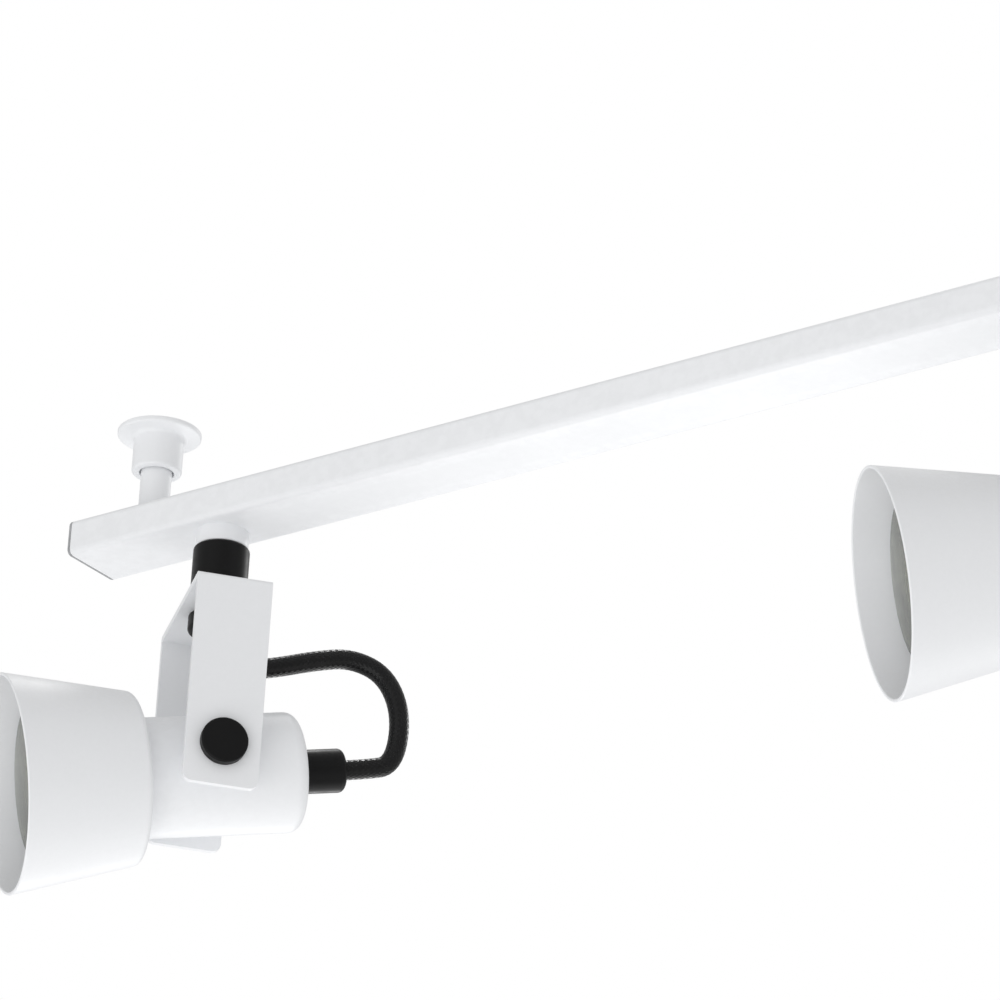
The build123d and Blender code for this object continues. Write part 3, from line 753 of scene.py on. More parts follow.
def turned(outline: Sequence[tuple[float, float]], sides: int = 144) -> bpy.types.Mesh:
    """Turns a closed outline about Z.

    Args:
        outline: (radius, height) points in millimetres.
        sides: How many facets go round.

    Returns:
        A closed mesh with outward faces and a UV map of turns and metres along the outline.
    """
    area = sum(a[0] * b[1] - b[0] * a[1] for a, b in zip(outline, [*outline[1:], outline[0]]))
    points = list(outline) if area < 0 else list(reversed(outline))
    starts, corners, run = [], [], [0.0]
    for index, (radius, height) in enumerate(points):
        starts.append(len(corners))
        for k in range(sides if radius > 1e-6 else 1):
            angle = math.tau * k / sides
            corners.append((radius * math.cos(angle) * MM, radius * math.sin(angle) * MM, height * MM))
        following = points[(index + 1) % len(points)]
        run.append(run[-1] + math.dist((radius, height), following) * MM)
    faces, places = [], []
    for i in range(len(points)):
        j = (i + 1) % len(points)
        flat_i, flat_j = points[i][0] <= 1e-6, points[j][0] <= 1e-6
        if flat_i and flat_j:
            continue
        for k in range(sides):
            after = (k + 1) % sides
            loop = [(i, k, k), (j, k, k), (j, after, k + 1), (i, after, k + 1)]
            if flat_j:
                loop.pop(2)
            if flat_i:
                loop.pop(3 if not flat_j else 2)
            faces.append([starts[r] + (0 if points[r][0] <= 1e-6 else turn) for r, turn, _ in loop])
            places.extend((turn / sides, run[i] if r == i else run[i + 1]) for r, _, turn in loop)
    mesh = bpy.data.meshes.new("turned")
    mesh.from_pydata(corners, [], faces)
    layer = mesh.uv_layers.new(name="UVMap")
    layer.data.foreach_set("uv", [value for place in places for value in place])
    return mesh


def solid_from(
    corners: Sequence[Vector | tuple], faces: Sequence[Sequence[int]], name: str = "solid"
) -> bpy.types.Mesh:
    """A mesh from corner points in metres and faces."""
    mesh = bpy.data.meshes.new(name)
    mesh.from_pydata([tuple(corner) for corner in corners], [], [list(face) for face in faces])
    return mesh


def stacked(rings: Sequence[Sequence[Vector]]) -> bpy.types.Mesh:
    """A closed solid skinned over rings of points, with flat ends.

    Args:
        rings: Rings of equal count, each in the same order.

    Returns:
        The mesh, with faces outwards when each ring runs anticlockwise as seen from the last ring.
    """
    count = len(rings[0])
    corners = [point for ring in rings for point in ring]
    faces = [list(reversed(range(count)))]
    for r in range(len(rings) - 1):
        low, high = r * count, (r + 1) * count
        for k in range(count):
            after = (k + 1) % count
            faces.append([low + k, low + after, high + after, high + k])
    last = (len(rings) - 1) * count
    faces.append([last + k for k in range(count)])
    return solid_from(corners, faces)


def carried(mesh: bpy.types.Mesh) -> bpy.types.Object:
    """A working object that carries a mesh while modifiers run."""
    holder = bpy.data.objects.new("work", mesh)
    bpy.context.scene.collection.objects.link(holder)
    return holder


def plain(holder: bpy.types.Object) -> bpy.types.Mesh:
    """Runs an object's modifiers, then removes it.

    Args:
        holder: The working object.

    Returns:
        Its evaluated shape as a plain mesh.
    """
    bpy.context.view_layer.update()
    graph = bpy.context.evaluated_depsgraph_get()
    mesh = bpy.data.meshes.new_from_object(
        holder.evaluated_get(graph), preserve_all_data_layers=True, depsgraph=graph
    )
    bpy.data.objects.remove(holder)
    return mesh


def grown(
    tree: bpy.types.NodeTree, inputs: Mapping[str, object], source: bpy.types.Mesh
) -> bpy.types.Mesh:
    """Runs a geometry tree on a mesh.

    Args:
        tree: The geometry node group.
        inputs: Its values by socket name.
        source: The mesh that it starts from.

    Returns:
        The result as a plain mesh.
    """
    holder = carried(source)
    modifier = holder.modifiers.new("grow", "NODES")
    modifier.node_group = tree
    sockets = {
        item.name: item.identifier
        for item in tree.interface.items_tree
        if item.item_type == "SOCKET" and item.in_out == "INPUT"
    }
    for name, value in inputs.items():
        modifier[sockets[name]] = value
    return plain(holder)


def bored(mesh: bpy.types.Mesh, cutters: Sequence[bpy.types.Mesh]) -> bpy.types.Mesh:
    """Cuts solids out of a mesh.

    Args:
        mesh: The solid that is cut.
        cutters: Closed solids to take away.

    Returns:
        The cut mesh.
    """
    holder = carried(mesh)
    helpers = [carried(cutter) for cutter in cutters]
    for helper in helpers:
        cut = holder.modifiers.new("cut", "BOOLEAN")
        cut.operation = "DIFFERENCE"
        cut.solver = "EXACT"
        cut.object = helper
    result = plain(holder)
    for helper in helpers:
        bpy.data.objects.remove(helper)
    return result


def eased(mesh: bpy.types.Mesh, width: float, segments: int = 3, limit: float = 40.0) -> bpy.types.Mesh:
    """Rounds the sharp edges of a mesh.

    Args:
        mesh: The solid.
        width: How far the rounding reaches, in millimetres.
        segments: How many pieces it has.
        limit: The least angle of an edge that is rounded, in degrees.

    Returns:
        The rounded mesh.
    """
    holder = carried(mesh)
    bevel = holder.modifiers.new("ease", "BEVEL")
    bevel.width = width * MM
    bevel.segments = segments
    bevel.limit_method = "ANGLE"
    bevel.angle_limit = math.radians(limit)
    bevel.miter_outer = "MITER_ARC"
    return plain(holder)


def smoothed(mesh: bpy.types.Mesh, limit: float = 35.0) -> bpy.types.Mesh:
    """Shades a mesh smooth up to a limit in degrees, with flat faces kept flat."""
    mesh.shade_smooth()
    mesh.set_sharp_from_angle(angle=math.radians(limit))
    holder = carried(mesh)
    weight = holder.modifiers.new("weight", "WEIGHTED_NORMAL")
    weight.keep_sharp = True
    return plain(holder)


def joined(meshes: Sequence[bpy.types.Mesh]) -> bpy.types.Mesh:
    """Several meshes in one.

    Args:
        meshes: The meshes, which keep their own shapes.

    Returns:
        One mesh that holds them all.
    """
    holders = [carried(mesh) for mesh in meshes]
    with bpy.context.temp_override(active_object=holders[0], selected_editable_objects=holders):
        bpy.ops.object.join()
    mesh = holders[0].data
    bpy.data.objects.remove(holders[0])
    return mesh


def post(radius: float, low: float, high: float, sides: int) -> bpy.types.Mesh:
    """A plain round post about Z, from one height to another, in millimetres."""
    return turned([(0, low), (radius, low), (radius, high), (0, high)], sides)


def heights(node: str) -> tuple[float, float]:
    """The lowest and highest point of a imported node, in millimetres."""
    low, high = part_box(node)
    return low.z / MM, high.z / MM


def placed(mesh: bpy.types.Mesh, place: Matrix) -> bpy.types.Mesh:
    """Moves a mesh to its place."""
    mesh.transform(place)
    mesh.update()
    return mesh


# ---- geometry trees ------------------------------------------------------------------------------
def ending(tree: Tree, geometry: bpy.types.NodeSocket, finish: bpy.types.NodeSocket) -> None:
    """Ends a geometry tree: real geometry, smooth faces and a material."""
    real = tree.node("GeometryNodeRealizeInstances", {0: geometry})
    smooth = tree.node("GeometryNodeSetShadeSmooth", {"Geometry": real.outputs[0]})
    painted = tree.node("GeometryNodeSetMaterial", {"Geometry": smooth.outputs[0], "Material": finish})
    tree.node("NodeGroupOutput", {"Geometry": painted.outputs[0]})


def build_braid() -> bpy.types.NodeTree:
    """A braided tube along a line of points.

    Each crossing is a small pillow.

    Returns:
        A geometry tree whose mesh carries a UV map of turns and metres along.
    """
    inputs = [
        ("Geometry", GEOMETRY, None),
        ("Radius", FLOAT, 3.9 * MM),
        ("Strands", INT, 16),
        ("Cell Length", FLOAT, 2.3 * MM),
        ("Relief", FLOAT, 0.3 * MM),
        ("Sides", INT, 96),
        ("Step", FLOAT, 0.35 * MM),
        ("Finish", MATERIAL, None),
    ]
    tree, given = group_of("braided_tube", "GeometryNodeTree", inputs, [("Geometry", GEOMETRY)])
    line = tree.node("GeometryNodeMeshToCurve", {"Mesh": given["Geometry"]})
    even = tree.node(
        "GeometryNodeResampleCurve", {"Curve": line.outputs[0], "Length": given["Step"]}, mode="LENGTH"
    )
    along = tree.node("GeometryNodeSplineParameter")
    rail = tree.node(
        "GeometryNodeStoreNamedAttribute",
        {"Geometry": even.outputs[0], "Name": "run", "Value": along.outputs["Length"]},
        data_type="FLOAT",
        domain="POINT",
    )
    ring = tree.node(
        "GeometryNodeCurvePrimitiveCircle", {"Resolution": given["Sides"], "Radius": given["Radius"]}
    )
    profile = tree.node(
        "GeometryNodeStoreNamedAttribute",
        {"Geometry": ring.outputs[0], "Name": "turn", "Value": along.outputs["Factor"]},
        data_type="FLOAT",
        domain="POINT",
    )
    tube = tree.node(
        "GeometryNodeCurveToMesh",
        {"Curve": rail.outputs[0], "Profile Curve": profile.outputs[0], "Fill Caps": True},
    )
    run = tree.node("GeometryNodeInputNamedAttribute", {"Name": "run"}, data_type="FLOAT").outputs[0]
    turn = tree.node("GeometryNodeInputNamedAttribute", {"Name": "turn"}, data_type="FLOAT").outputs[0]
    middle = tree.node(
        "GeometryNodeFieldOnDomain", {0: turn}, domain="FACE", data_type="FLOAT"
    ).outputs[0]
    wraps = tree.math("GREATER_THAN", tree.math("SUBTRACT", middle, turn), 0.3)
    around = tree.math("ADD", turn, wraps)
    flat = tree.node("ShaderNodeCombineXYZ", {0: around, 1: run})
    mapped = tree.node(
        "GeometryNodeStoreNamedAttribute",
        {"Geometry": tube.outputs[0], "Name": "UVMap", "Value": flat.outputs[0]},
        data_type="FLOAT2",
        domain="CORNER",
    )
    turns = tree.math("MULTIPLY", turn, given["Strands"])
    cells = tree.math("DIVIDE", run, given["Cell Length"])
    pillow = tree.math(
        "MULTIPLY",
        strand_dome(tree, tree.math("ADD", turns, cells)),
        strand_dome(tree, tree.math("SUBTRACT", turns, cells)),
    )
    height = tree.math("MULTIPLY", tree.math("SUBTRACT", pillow, 0.55), given["Relief"])
    outward = tree.node(
        "ShaderNodeVectorMath",
        {0: tree.node("GeometryNodeInputNormal").outputs[0], "Scale": height},
        operation="SCALE",
    )
    shaped = tree.node(
        "GeometryNodeSetPosition", {"Geometry": mapped.outputs[0], "Offset": outward.outputs[0]}
    )
    ending(tree, shaped.outputs[0], given["Finish"])
    return tree.tree


def strand_dome(tree: Tree, phase: bpy.types.NodeSocket) -> bpy.types.NodeSocket:
    """The height across one strand, from 0 at its edges to 1 at its crest."""
    arch = tree.math("ABSOLUTE", tree.math("SINE", tree.math("MULTIPLY", phase, math.pi)))
    return tree.math("POWER", arch, 0.55)


def build_ring_of_pieces() -> bpy.types.NodeTree:
    """Copies of a piece, evenly round a circle.

    Returns:
        A geometry tree that starts from the piece.
    """
    inputs = [
        ("Geometry", GEOMETRY, None),
        ("Count", INT, 3),
        ("Circle Radius", FLOAT, 19.3 * MM),
        ("First Angle", FLOAT, 0.0),
        ("Height", FLOAT, 0.0),
        ("Seed", INT, 4),
        ("Finish", MATERIAL, None),
    ]
    tree, given = group_of("ring_of_pieces", "GeometryNodeTree", inputs, [("Geometry", GEOMETRY)])
    circle = tree.node(
        "GeometryNodeMeshCircle", {"Vertices": given["Count"], "Radius": given["Circle Radius"]}
    )
    start = tree.node("ShaderNodeCombineXYZ", {2: given["First Angle"]})
    height = tree.node("ShaderNodeCombineXYZ", {2: given["Height"]})
    spots = tree.node(
        "GeometryNodeTransform",
        {"Geometry": circle.outputs[0], "Translation": height.outputs[0], "Rotation": start.outputs[0]},
    )
    spin = tree.node(
        "FunctionNodeRandomValue",
        {"Min": (0, 0, 0), "Max": (0, 0, math.tau), "Seed": given["Seed"]},
        data_type="FLOAT_VECTOR",
    )
    copies = tree.node(
        "GeometryNodeInstanceOnPoints",
        {"Points": spots.outputs[0], "Instance": given["Geometry"], "Rotation": spin.outputs[0]},
    )
    ending(tree, copies.outputs[0], given["Finish"])
    return tree.tree


def build_thread() -> bpy.types.NodeTree:
    """A screw thread cut or rolled into a turned piece about Z.

    Returns:
        A geometry tree that moves the points between two heights in and out along a helix.
    """
    inputs = [
        ("Geometry", GEOMETRY, None),
        ("Start", FLOAT, 0.0),
        ("End", FLOAT, 10 * MM),
        ("Least Radius", FLOAT, 5 * MM),
        ("Pitch", FLOAT, 1 * MM),
        ("Depth", FLOAT, 0.5 * MM),
        ("Finish", MATERIAL, None),
    ]
    tree, given = group_of("screw_thread", "GeometryNodeTree", inputs, [("Geometry", GEOMETRY)])
    place = tree.node("ShaderNodeSeparateXYZ", {0: tree.node("GeometryNodeInputPosition").outputs[0]})
    angle = tree.math("ARCTAN2", place.outputs[1], place.outputs[0])
    rise = tree.math("DIVIDE", place.outputs[2], given["Pitch"])
    phase = tree.math("SUBTRACT", tree.math("MULTIPLY", rise, math.tau), angle)
    wave = tree.math("MULTIPLY_ADD", tree.math("COSINE", phase), 0.5, -0.5)
    fade_in = tree.math(
        "DIVIDE", tree.math("SUBTRACT", place.outputs[2], given["Start"]), given["Pitch"]
    )
    fade_out = tree.math(
        "DIVIDE", tree.math("SUBTRACT", given["End"], place.outputs[2]), given["Pitch"]
    )
    fade = tree.node("ShaderNodeClamp", {0: tree.math("MINIMUM", fade_in, fade_out)}).outputs[0]
    depth = tree.math("MULTIPLY", tree.math("MULTIPLY", wave, fade), given["Depth"])
    out = tree.node("ShaderNodeCombineXYZ", {0: place.outputs[0], 1: place.outputs[1]})
    length = tree.node("ShaderNodeVectorMath", {0: out.outputs[0]}, operation="LENGTH").outputs["Value"]
    unit = tree.node("ShaderNodeVectorMath", {0: out.outputs[0]}, operation="NORMALIZE").outputs[0]
    offset = tree.node("ShaderNodeVectorMath", {0: unit, "Scale": depth}, operation="SCALE")
    outside = tree.node(
        "FunctionNodeCompare", {0: length, 1: given["Least Radius"]}, operation="GREATER_THAN"
    )
    moved = tree.node(
        "GeometryNodeSetPosition",
        {"Geometry": given["Geometry"], "Selection": outside.outputs[0], "Offset": offset.outputs[0]},
    )
    ending(tree, moved.outputs[0], given["Finish"])
    return tree.tree


def build_lenslets() -> bpy.types.NodeTree:
    """Small round lenses pressed in rings into the back of a glass disc about Z.

    Returns:
        A geometry tree that raises the points of the disc's back.
    """
    inputs = [
        ("Geometry", GEOMETRY, None),
        ("Back Height", FLOAT, 0.0),
        ("Pitch", FLOAT, 3.0 * MM),
        ("Relief", FLOAT, 0.4 * MM),
        ("Field Radius", FLOAT, 24.0 * MM),
        ("Finish", MATERIAL, None),
    ]
    tree, given = group_of("pressed_lenslets", "GeometryNodeTree", inputs, [("Geometry", GEOMETRY)])
    place = tree.node("ShaderNodeSeparateXYZ", {0: tree.node("GeometryNodeInputPosition").outputs[0]})
    flat = tree.node("ShaderNodeCombineXYZ", {0: place.outputs[0], 1: place.outputs[1]})
    radius = tree.node(
        "ShaderNodeVectorMath", {0: flat.outputs[0]}, operation="LENGTH"
    ).outputs["Value"]
    rings = tree.math("DIVIDE", radius, given["Pitch"])
    ring = tree.math("ROUND", rings)
    count = tree.math("MAXIMUM", tree.math("ROUND", tree.math("MULTIPLY", ring, math.tau)), 1.0)
    turn = tree.math("DIVIDE", tree.math("ARCTAN2", place.outputs[1], place.outputs[0]), math.tau)
    spot = tree.math(
        "SUBTRACT", tree.math("FRACT", tree.math("ADD", tree.math("MULTIPLY", turn, count), 8.0)), 0.5
    )
    spot = tree.math("MULTIPLY", spot, tree.math("MINIMUM", ring, 1.0))
    square = tree.math(
        "ADD",
        tree.math("POWER", tree.math("ABSOLUTE", spot), 2.0),
        tree.math("POWER", tree.math("ABSOLUTE", tree.math("SUBTRACT", rings, ring)), 2.0),
    )
    dome = tree.math("MAXIMUM", tree.math("MULTIPLY_ADD", square, -3.6, 1.0), 0.0)
    inside = tree.math("LESS_THAN", radius, given["Field Radius"])
    height = tree.math("MULTIPLY", tree.math("MULTIPLY", dome, inside), given["Relief"])
    offset = tree.node("ShaderNodeCombineXYZ", {2: tree.math("MULTIPLY", height, -1.0)})
    back = tree.node(
        "FunctionNodeCompare",
        {
            0: tree.math("ABSOLUTE", tree.math("SUBTRACT", place.outputs[2], given["Back Height"])),
            1: 0.02 * MM,
        },
        operation="LESS_THAN",
    )
    moved = tree.node(
        "GeometryNodeSetPosition",
        {"Geometry": given["Geometry"], "Selection": back.outputs[0], "Offset": offset.outputs[0]},
    )
    ending(tree, moved.outputs[0], given["Finish"])
    return tree.tree


class Growth(Enum):
    """Geometry trees for what repeats or follows a path, each built once."""

    BRAID = "braided_tube"
    RING = "ring_of_pieces"
    THREAD = "screw_thread"
    LENSLETS = "pressed_lenslets"

    def tree(self) -> bpy.types.NodeTree:
        """Returns the geometry tree, building it the first time."""
        found = bpy.data.node_groups.get(self.value)
        if found is None:
            builders = {
                Growth.BRAID: build_braid,
                Growth.RING: build_ring_of_pieces,
                Growth.THREAD: build_thread,
                Growth.LENSLETS: build_lenslets,
            }
            found = builders[self]()
        return found


# ---- pieces in the scene -------------------------------------------------------------------------
def show(
    mesh: bpy.types.Mesh, name: str, finish: Finish, body: str, replaced: Sequence[str] = ()
) -> bpy.types.Object:
    """Puts a finished mesh in the scene.

    Args:
        mesh: The mesh, already in its place.
        name: The piece's name.
        finish: Its surface finish.
        body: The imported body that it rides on.
        replaced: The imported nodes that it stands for.

    Returns:
        The piece.
    """
    mesh.name = name
    piece = bpy.data.objects.new(name, mesh)
    bpy.context.scene.collection.objects.link(piece)
    mesh.materials.clear()
    mesh.materials.append(finish.material())
    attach(piece, body)
    if replaced:
        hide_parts(*replaced)
    LOG.info("%s: %d faces on %s", name, len(mesh.polygons), body)
    return piece


def repaint(finish: Finish, *nodes: str) -> None:
    """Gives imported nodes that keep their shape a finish."""
    for node in nodes:
        for slot in frame["nodes"][node].material_slots:
            slot.material = finish.material()
        LOG.info("%s: repainted", node)


# ---- studio --------------------------------------------------------------------------------------
@dataclass(frozen=True)
class Softbox:
    """A square area light that looks at the object."""

    name: str
    azimuth: float
    elevation: float
    distance: float
    size: float
    power: float

    def hang(self, target: Vector) -> None:
        """Places the light round a target."""
        turn, rise = math.radians(self.azimuth), math.radians(self.elevation)
        away = Vector(
            (math.sin(turn) * math.cos(rise), -math.cos(turn) * math.cos(rise), math.sin(rise))
        )
        light = bpy.data.lights.new(self.name, "AREA")
        light.size = self.size
        light.energy = self.power
        lamp = bpy.data.objects.new(self.name, light)
        lamp.rotation_mode = "QUATERNION"
        lamp.location = target + away * self.distance
        lamp.rotation_quaternion = away.to_track_quat("Z", "Y")
        lamp.visible_camera = False
        bpy.context.scene.collection.objects.link(lamp)


@dataclass
class Studio:
    """Camera, backdrop, floor and lights. Lengths are in metres."""

    azimuth: float = 37.996
    elevation: float = -24.872
    roll: float = 3.701
    distance: float = 3.42537
    centre: Vector = field(default_factory=lambda: Vector((-0.074, 0.0, -0.0926)))
    shift_right: float = 0.005235
    shift_up: float = 0.021961
    sensor: float = 36.0
    focal_length: float = 320.615
    floor_drop: float = 6.2
    floor_size: float = 80.0
    sky: float = 0.645
    softboxes: tuple[Softbox, ...] = (
        Softbox("front_box", 0.0, 10.0, 3.0, 2.6, 7.0),
        Softbox("low_front_box", 15.0, -45.0, 3.0, 2.6, 25.0),
        Softbox("low_left_box", -60.0, -40.0, 3.0, 2.6, 17.0),
        Softbox("low_right_box", 100.0, -40.0, 3.0, 2.6, 6.5),
        Softbox("low_back_box", 190.0, -45.0, 3.0, 2.6, 26.0),
        Softbox("rim_above", -136.0, 62.0, 1.8, 0.2, 3.0),
        Softbox("rim_behind", 175.0, 24.0, 1.8, 0.2, 3.0),
        Softbox("rim_below", -145.0, -16.0, 1.8, 0.16, 1.5),
    )

    def camera(self) -> bpy.types.Object:
        """Makes the camera.

        Returns:
            The camera's object.
        """
        turn, rise, lean = (math.radians(value) for value in (self.azimuth, self.elevation, self.roll))
        ahead = Vector(
            (-math.sin(turn) * math.cos(rise), math.cos(turn) * math.cos(rise), -math.sin(rise))
        )
        level = Vector((math.cos(turn), math.sin(turn), 0.0))
        upright = level.cross(ahead)
        right = level * math.cos(lean) + upright * math.sin(lean)
        up = upright * math.cos(lean) - level * math.sin(lean)
        spot = self.centre - ahead * self.distance + right * self.shift_right + up * self.shift_up
        data = bpy.data.cameras.new("camera")
        data.sensor_width = self.sensor
        data.lens = self.focal_length
        data.clip_start = 0.1
        data.clip_end = 200.0
        camera = bpy.data.objects.new("camera", data)
        camera.matrix_world = basis(right, up, -ahead, spot)
        bpy.context.scene.collection.objects.link(camera)
        bpy.context.scene.camera = camera
        return camera

    def backdrop(self) -> None:
        """A white surround that lights the object a little less than it shows."""
        world = bpy.data.worlds.new("surround")
        world.use_nodes = True
        bpy.context.scene.world = world
        tree = Tree(world.node_tree)
        shown = tree.node("ShaderNodeLightPath").outputs["Is Camera Ray"]
        strength = tree.math("MULTIPLY_ADD", shown, 1.0 - self.sky, self.sky)
        surround = world.node_tree.nodes["Background"]
        surround.inputs["Color"].default_value = (1.0, 1.0, 1.0, 1.0)
        tree.feed(surround.inputs["Strength"], strength)
        bpy.context.scene.view_settings.view_transform = "Standard"

    def floor(self) -> None:
        """A plain pale floor far under the object."""
        half = self.floor_size / 2
        level = CAD_BOX[0].z - self.floor_drop
        corners = [
            (-half, -half, level), (half, -half, level), (half, half, level), (-half, half, level)
        ]
        ground = carried(solid_from(corners, [(0, 1, 2, 3)], "floor"))
        ground.name = "floor"
        recipe = Recipe("floor_paint")
        drift = recipe.noise(recipe.place, 0.6, Detail=3.0)
        recipe.shade(
            Base_Color=recipe.blend(drift, rgba((0.84, 0.84, 0.84)), rgba((0.88, 0.88, 0.88))),
            Roughness=recipe.stretch(drift, 0.7, 0.85),
        )
        ground.data.materials.append(recipe.material)

    def set_up(self) -> None:
        """Makes everything that isn't the object, apart from the camera."""
        self.backdrop()
        self.floor()
        middle = (CAD_BOX[0] + CAD_BOX[1]) / 2
        for softbox in self.softboxes:
            softbox.hang(middle)


# ---- sub-assemblies ------------------------------------------------------------------------------
@dataclass
class LampCable:
    """The free cable of one lamp, from the outlet nut to the gland. Its route is in metres."""

    lamp: LampPlace
    diameter: float = 7.8
    relief: float = 0.16
    sides: int = 96
    step: float = 0.36
    near_end: float = 0.0651
    far_end: float = 0.0541
    loop: tuple[tuple[float, float], ...] = (
        (0.0, 0.0625),
        (0.0, 0.0510),
        (-0.0105, 0.0466),
        (-0.0255, 0.0504),
        (-0.0400, 0.0556),
        (-0.0550, 0.0594),
        (-0.0695, 0.0542),
        (-0.0770, 0.0380),
        (-0.0750, 0.0165),
    )
    blend_start: tuple[float, float] = (-0.018, 0.060)
    blend_end: tuple[float, float] = (-0.062, 0.010)

    def at(self, forward: float, height: float) -> Vector:
        """A point of the lamp's upright plane, given forwards and up from the pivot."""
        return self.lamp.pivot + self.lamp.forward * forward + Vector((0, 0, height))

    def route(self) -> list[Vector]:
        """The route's control points in the row frame."""
        points = [self.at(forward, height) for forward, height in self.loop]
        points += [self.lamp.pivot - self.lamp.axis * reach for reach in (self.near_end, self.far_end)]
        return points

    def line(self) -> bpy.types.Mesh:
        """The smooth line through the route.

        Returns:
            A mesh of points in order, read from the route's spline.
        """
        curve = bpy.data.curves.new("cable_line", "CURVE")
        curve.dimensions = "3D"
        curve.resolution_u = 20
        spline = curve.splines.new("NURBS")
        route = self.route()
        spline.points.add(len(route) - 1)
        for point, place in zip(spline.points, route):
            point.co = (*place, 1.0)
        spline.order_u = 3
        spline.use_endpoint_u = True
        holder = bpy.data.objects.new("cable_line", curve)
        bpy.context.scene.collection.objects.link(holder)
        return plain(holder)

    def build(self) -> bpy.types.Object:
        """Returns:
            The cable's object.
        """
        line = self.line()
        mesh = grown(
            Growth.BRAID.tree(),
            {
                "Radius": self.diameter / 2 * MM,
                "Strands": SLEEVE.strands,
                "Cell Length": SLEEVE.cell,
                "Relief": self.relief * MM,
                "Sides": self.sides,
                "Step": self.step * MM,
                "Finish": SLEEVE.material(),
            },
            line,
        )
        name = f"braided_cable_{self.lamp.name}"
        mesh.name = name
        cable = bpy.data.objects.new(name, mesh)
        bpy.context.scene.collection.objects.link(cable)
        Body.YOKE.of(self.lamp.name)
        Body.HEAD.of(self.lamp.name)
        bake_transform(cable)
        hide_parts(f"cable_{self.lamp.name}")
        return cable


@dataclass
class CeilingBar:
    """The rectangular tube, its end caps and what is inside it."""

    corner: float = 2.5
    wall: float = 1.5
    cap_round: float = 0.35
    cap_plug: float = 8.0
    corner_steps: int = 8
    edge: float = 0.2
    stem_hole: float = 4.1
    nipple_hole: float = 6.6
    inlet_hole: float = 6.0

    def ring(self, x: float, inset: float) -> list[Vector]:
        """The bar's rounded outline at one place along it, pulled in by an inset in millimetres."""
        low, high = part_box("bar_tube")
        radius = max(self.corner - inset, 0.8) * MM
        inset *= MM
        middle_y, middle_z = (low.y + high.y) / 2, (low.z + high.z) / 2
        reach_y = (high.y - low.y) / 2 - inset - radius
        reach_z = (high.z - low.z) / 2 - inset - radius
        points = []
        for quarter, (sign_y, sign_z) in enumerate(((1, 1), (-1, 1), (-1, -1), (1, -1))):
            for step in range(self.corner_steps + 1):
                angle = math.pi / 2 * (quarter + step / self.corner_steps)
                y = middle_y + sign_y * reach_y + radius * math.cos(angle)
                z = middle_z + sign_z * reach_z + radius * math.sin(angle)
                points.append(Vector((x, y, z)))
        return points

    def build_tube(self) -> bpy.types.Mesh:
        """The tube with its holes.

        Returns:
            The tube's mesh.
        """
        low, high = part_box("bar_tube")
        edge = self.edge * MM
        outer = stacked(
            [
                self.ring(low.x, self.edge),
                self.ring(low.x + edge, 0),
                self.ring(high.x - edge, 0),
                self.ring(high.x, self.edge),
            ]
        )
        hollow = stacked([self.ring(low.x - edge, self.wall), self.ring(high.x + edge, self.wall)])
        cutters = [hollow]
        above, below = high.z / MM, low.z / MM
        for side in ("left", "right"):
            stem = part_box(f"standoff_stem_{side}")
            cutters.append(
                self.drill(self.stem_hole, (stem[0].x + stem[1].x) / 2, above - 3, above + 3)
            )
            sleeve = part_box(f"swivel_sleeve_{side}")
            cutters.append(
                self.drill(self.nipple_hole, (sleeve[0].x + sleeve[1].x) / 2, below - 3, below + 3)
            )
        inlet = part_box("inlet_grommet")
        cutters.append(self.drill(self.inlet_hole, (inlet[0].x + inlet[1].x) / 2, above - 3, above + 3))
        return smoothed(bored(outer, cutters), 28.0)

    def drill(self, radius: float, x: float, start: float, end: float) -> bpy.types.Mesh:
        """A round cutter along Z, in millimetres apart from its place along the bar."""
        return placed(post(radius, start, end, 48), Matrix.Translation((x, 0, 0)))

    def build_cap(self, side: str) -> bpy.types.Mesh:
        """One end cap: a rounded cover and the plug behind it.

        Args:
            side: left or right.

        Returns:
            The cap's mesh.
        """
        low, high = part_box(f"end_cap_{side}")
        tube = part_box("bar_tube")
        out = -1 if side == "left" else 1
        face = low.x if side == "left" else high.x
        joint = tube[0].x if side == "left" else tube[1].x
        soft = self.cap_round * MM
        stations = [
            (joint - out * self.cap_plug * MM, self.wall + 0.25),
            (joint - out * (self.cap_plug - 0.6) * MM, self.wall + 0.1),
            (joint, self.wall + 0.1),
            (joint, 0.0),
            (face - out * soft, 0.0),
            (face - out * soft * 0.3, self.cap_round * 0.3),
            (face, self.cap_round),
        ]
        rings = [self.ring(x, inset) for x, inset in (stations if out > 0 else reversed(stations))]
        return smoothed(stacked(rings), 40.0)

    def build(self) -> None:
        """Makes and shows the bar's pieces."""
        bar = Body.BAR.value
        show(self.build_tube(), "bar_shell", WHITE_PAINT, bar, ["bar_tube"])
        for side in ("left", "right"):
            show(self.build_cap(side), f"bar_end_cap_{side}", GREY_PLASTIC, bar, [f"end_cap_{side}"])
        self.dress()

    def dress(self) -> None:
        """Finishes what is inside the bar."""
        repaint(WHITE_PLASTIC, "terminal_block")
        repaint(BRASS, "terminal_screws")
        repaint(SOFT_RUBBER, "inlet_grommet")
        repaint(CORES, "wires_left", "wires_right")


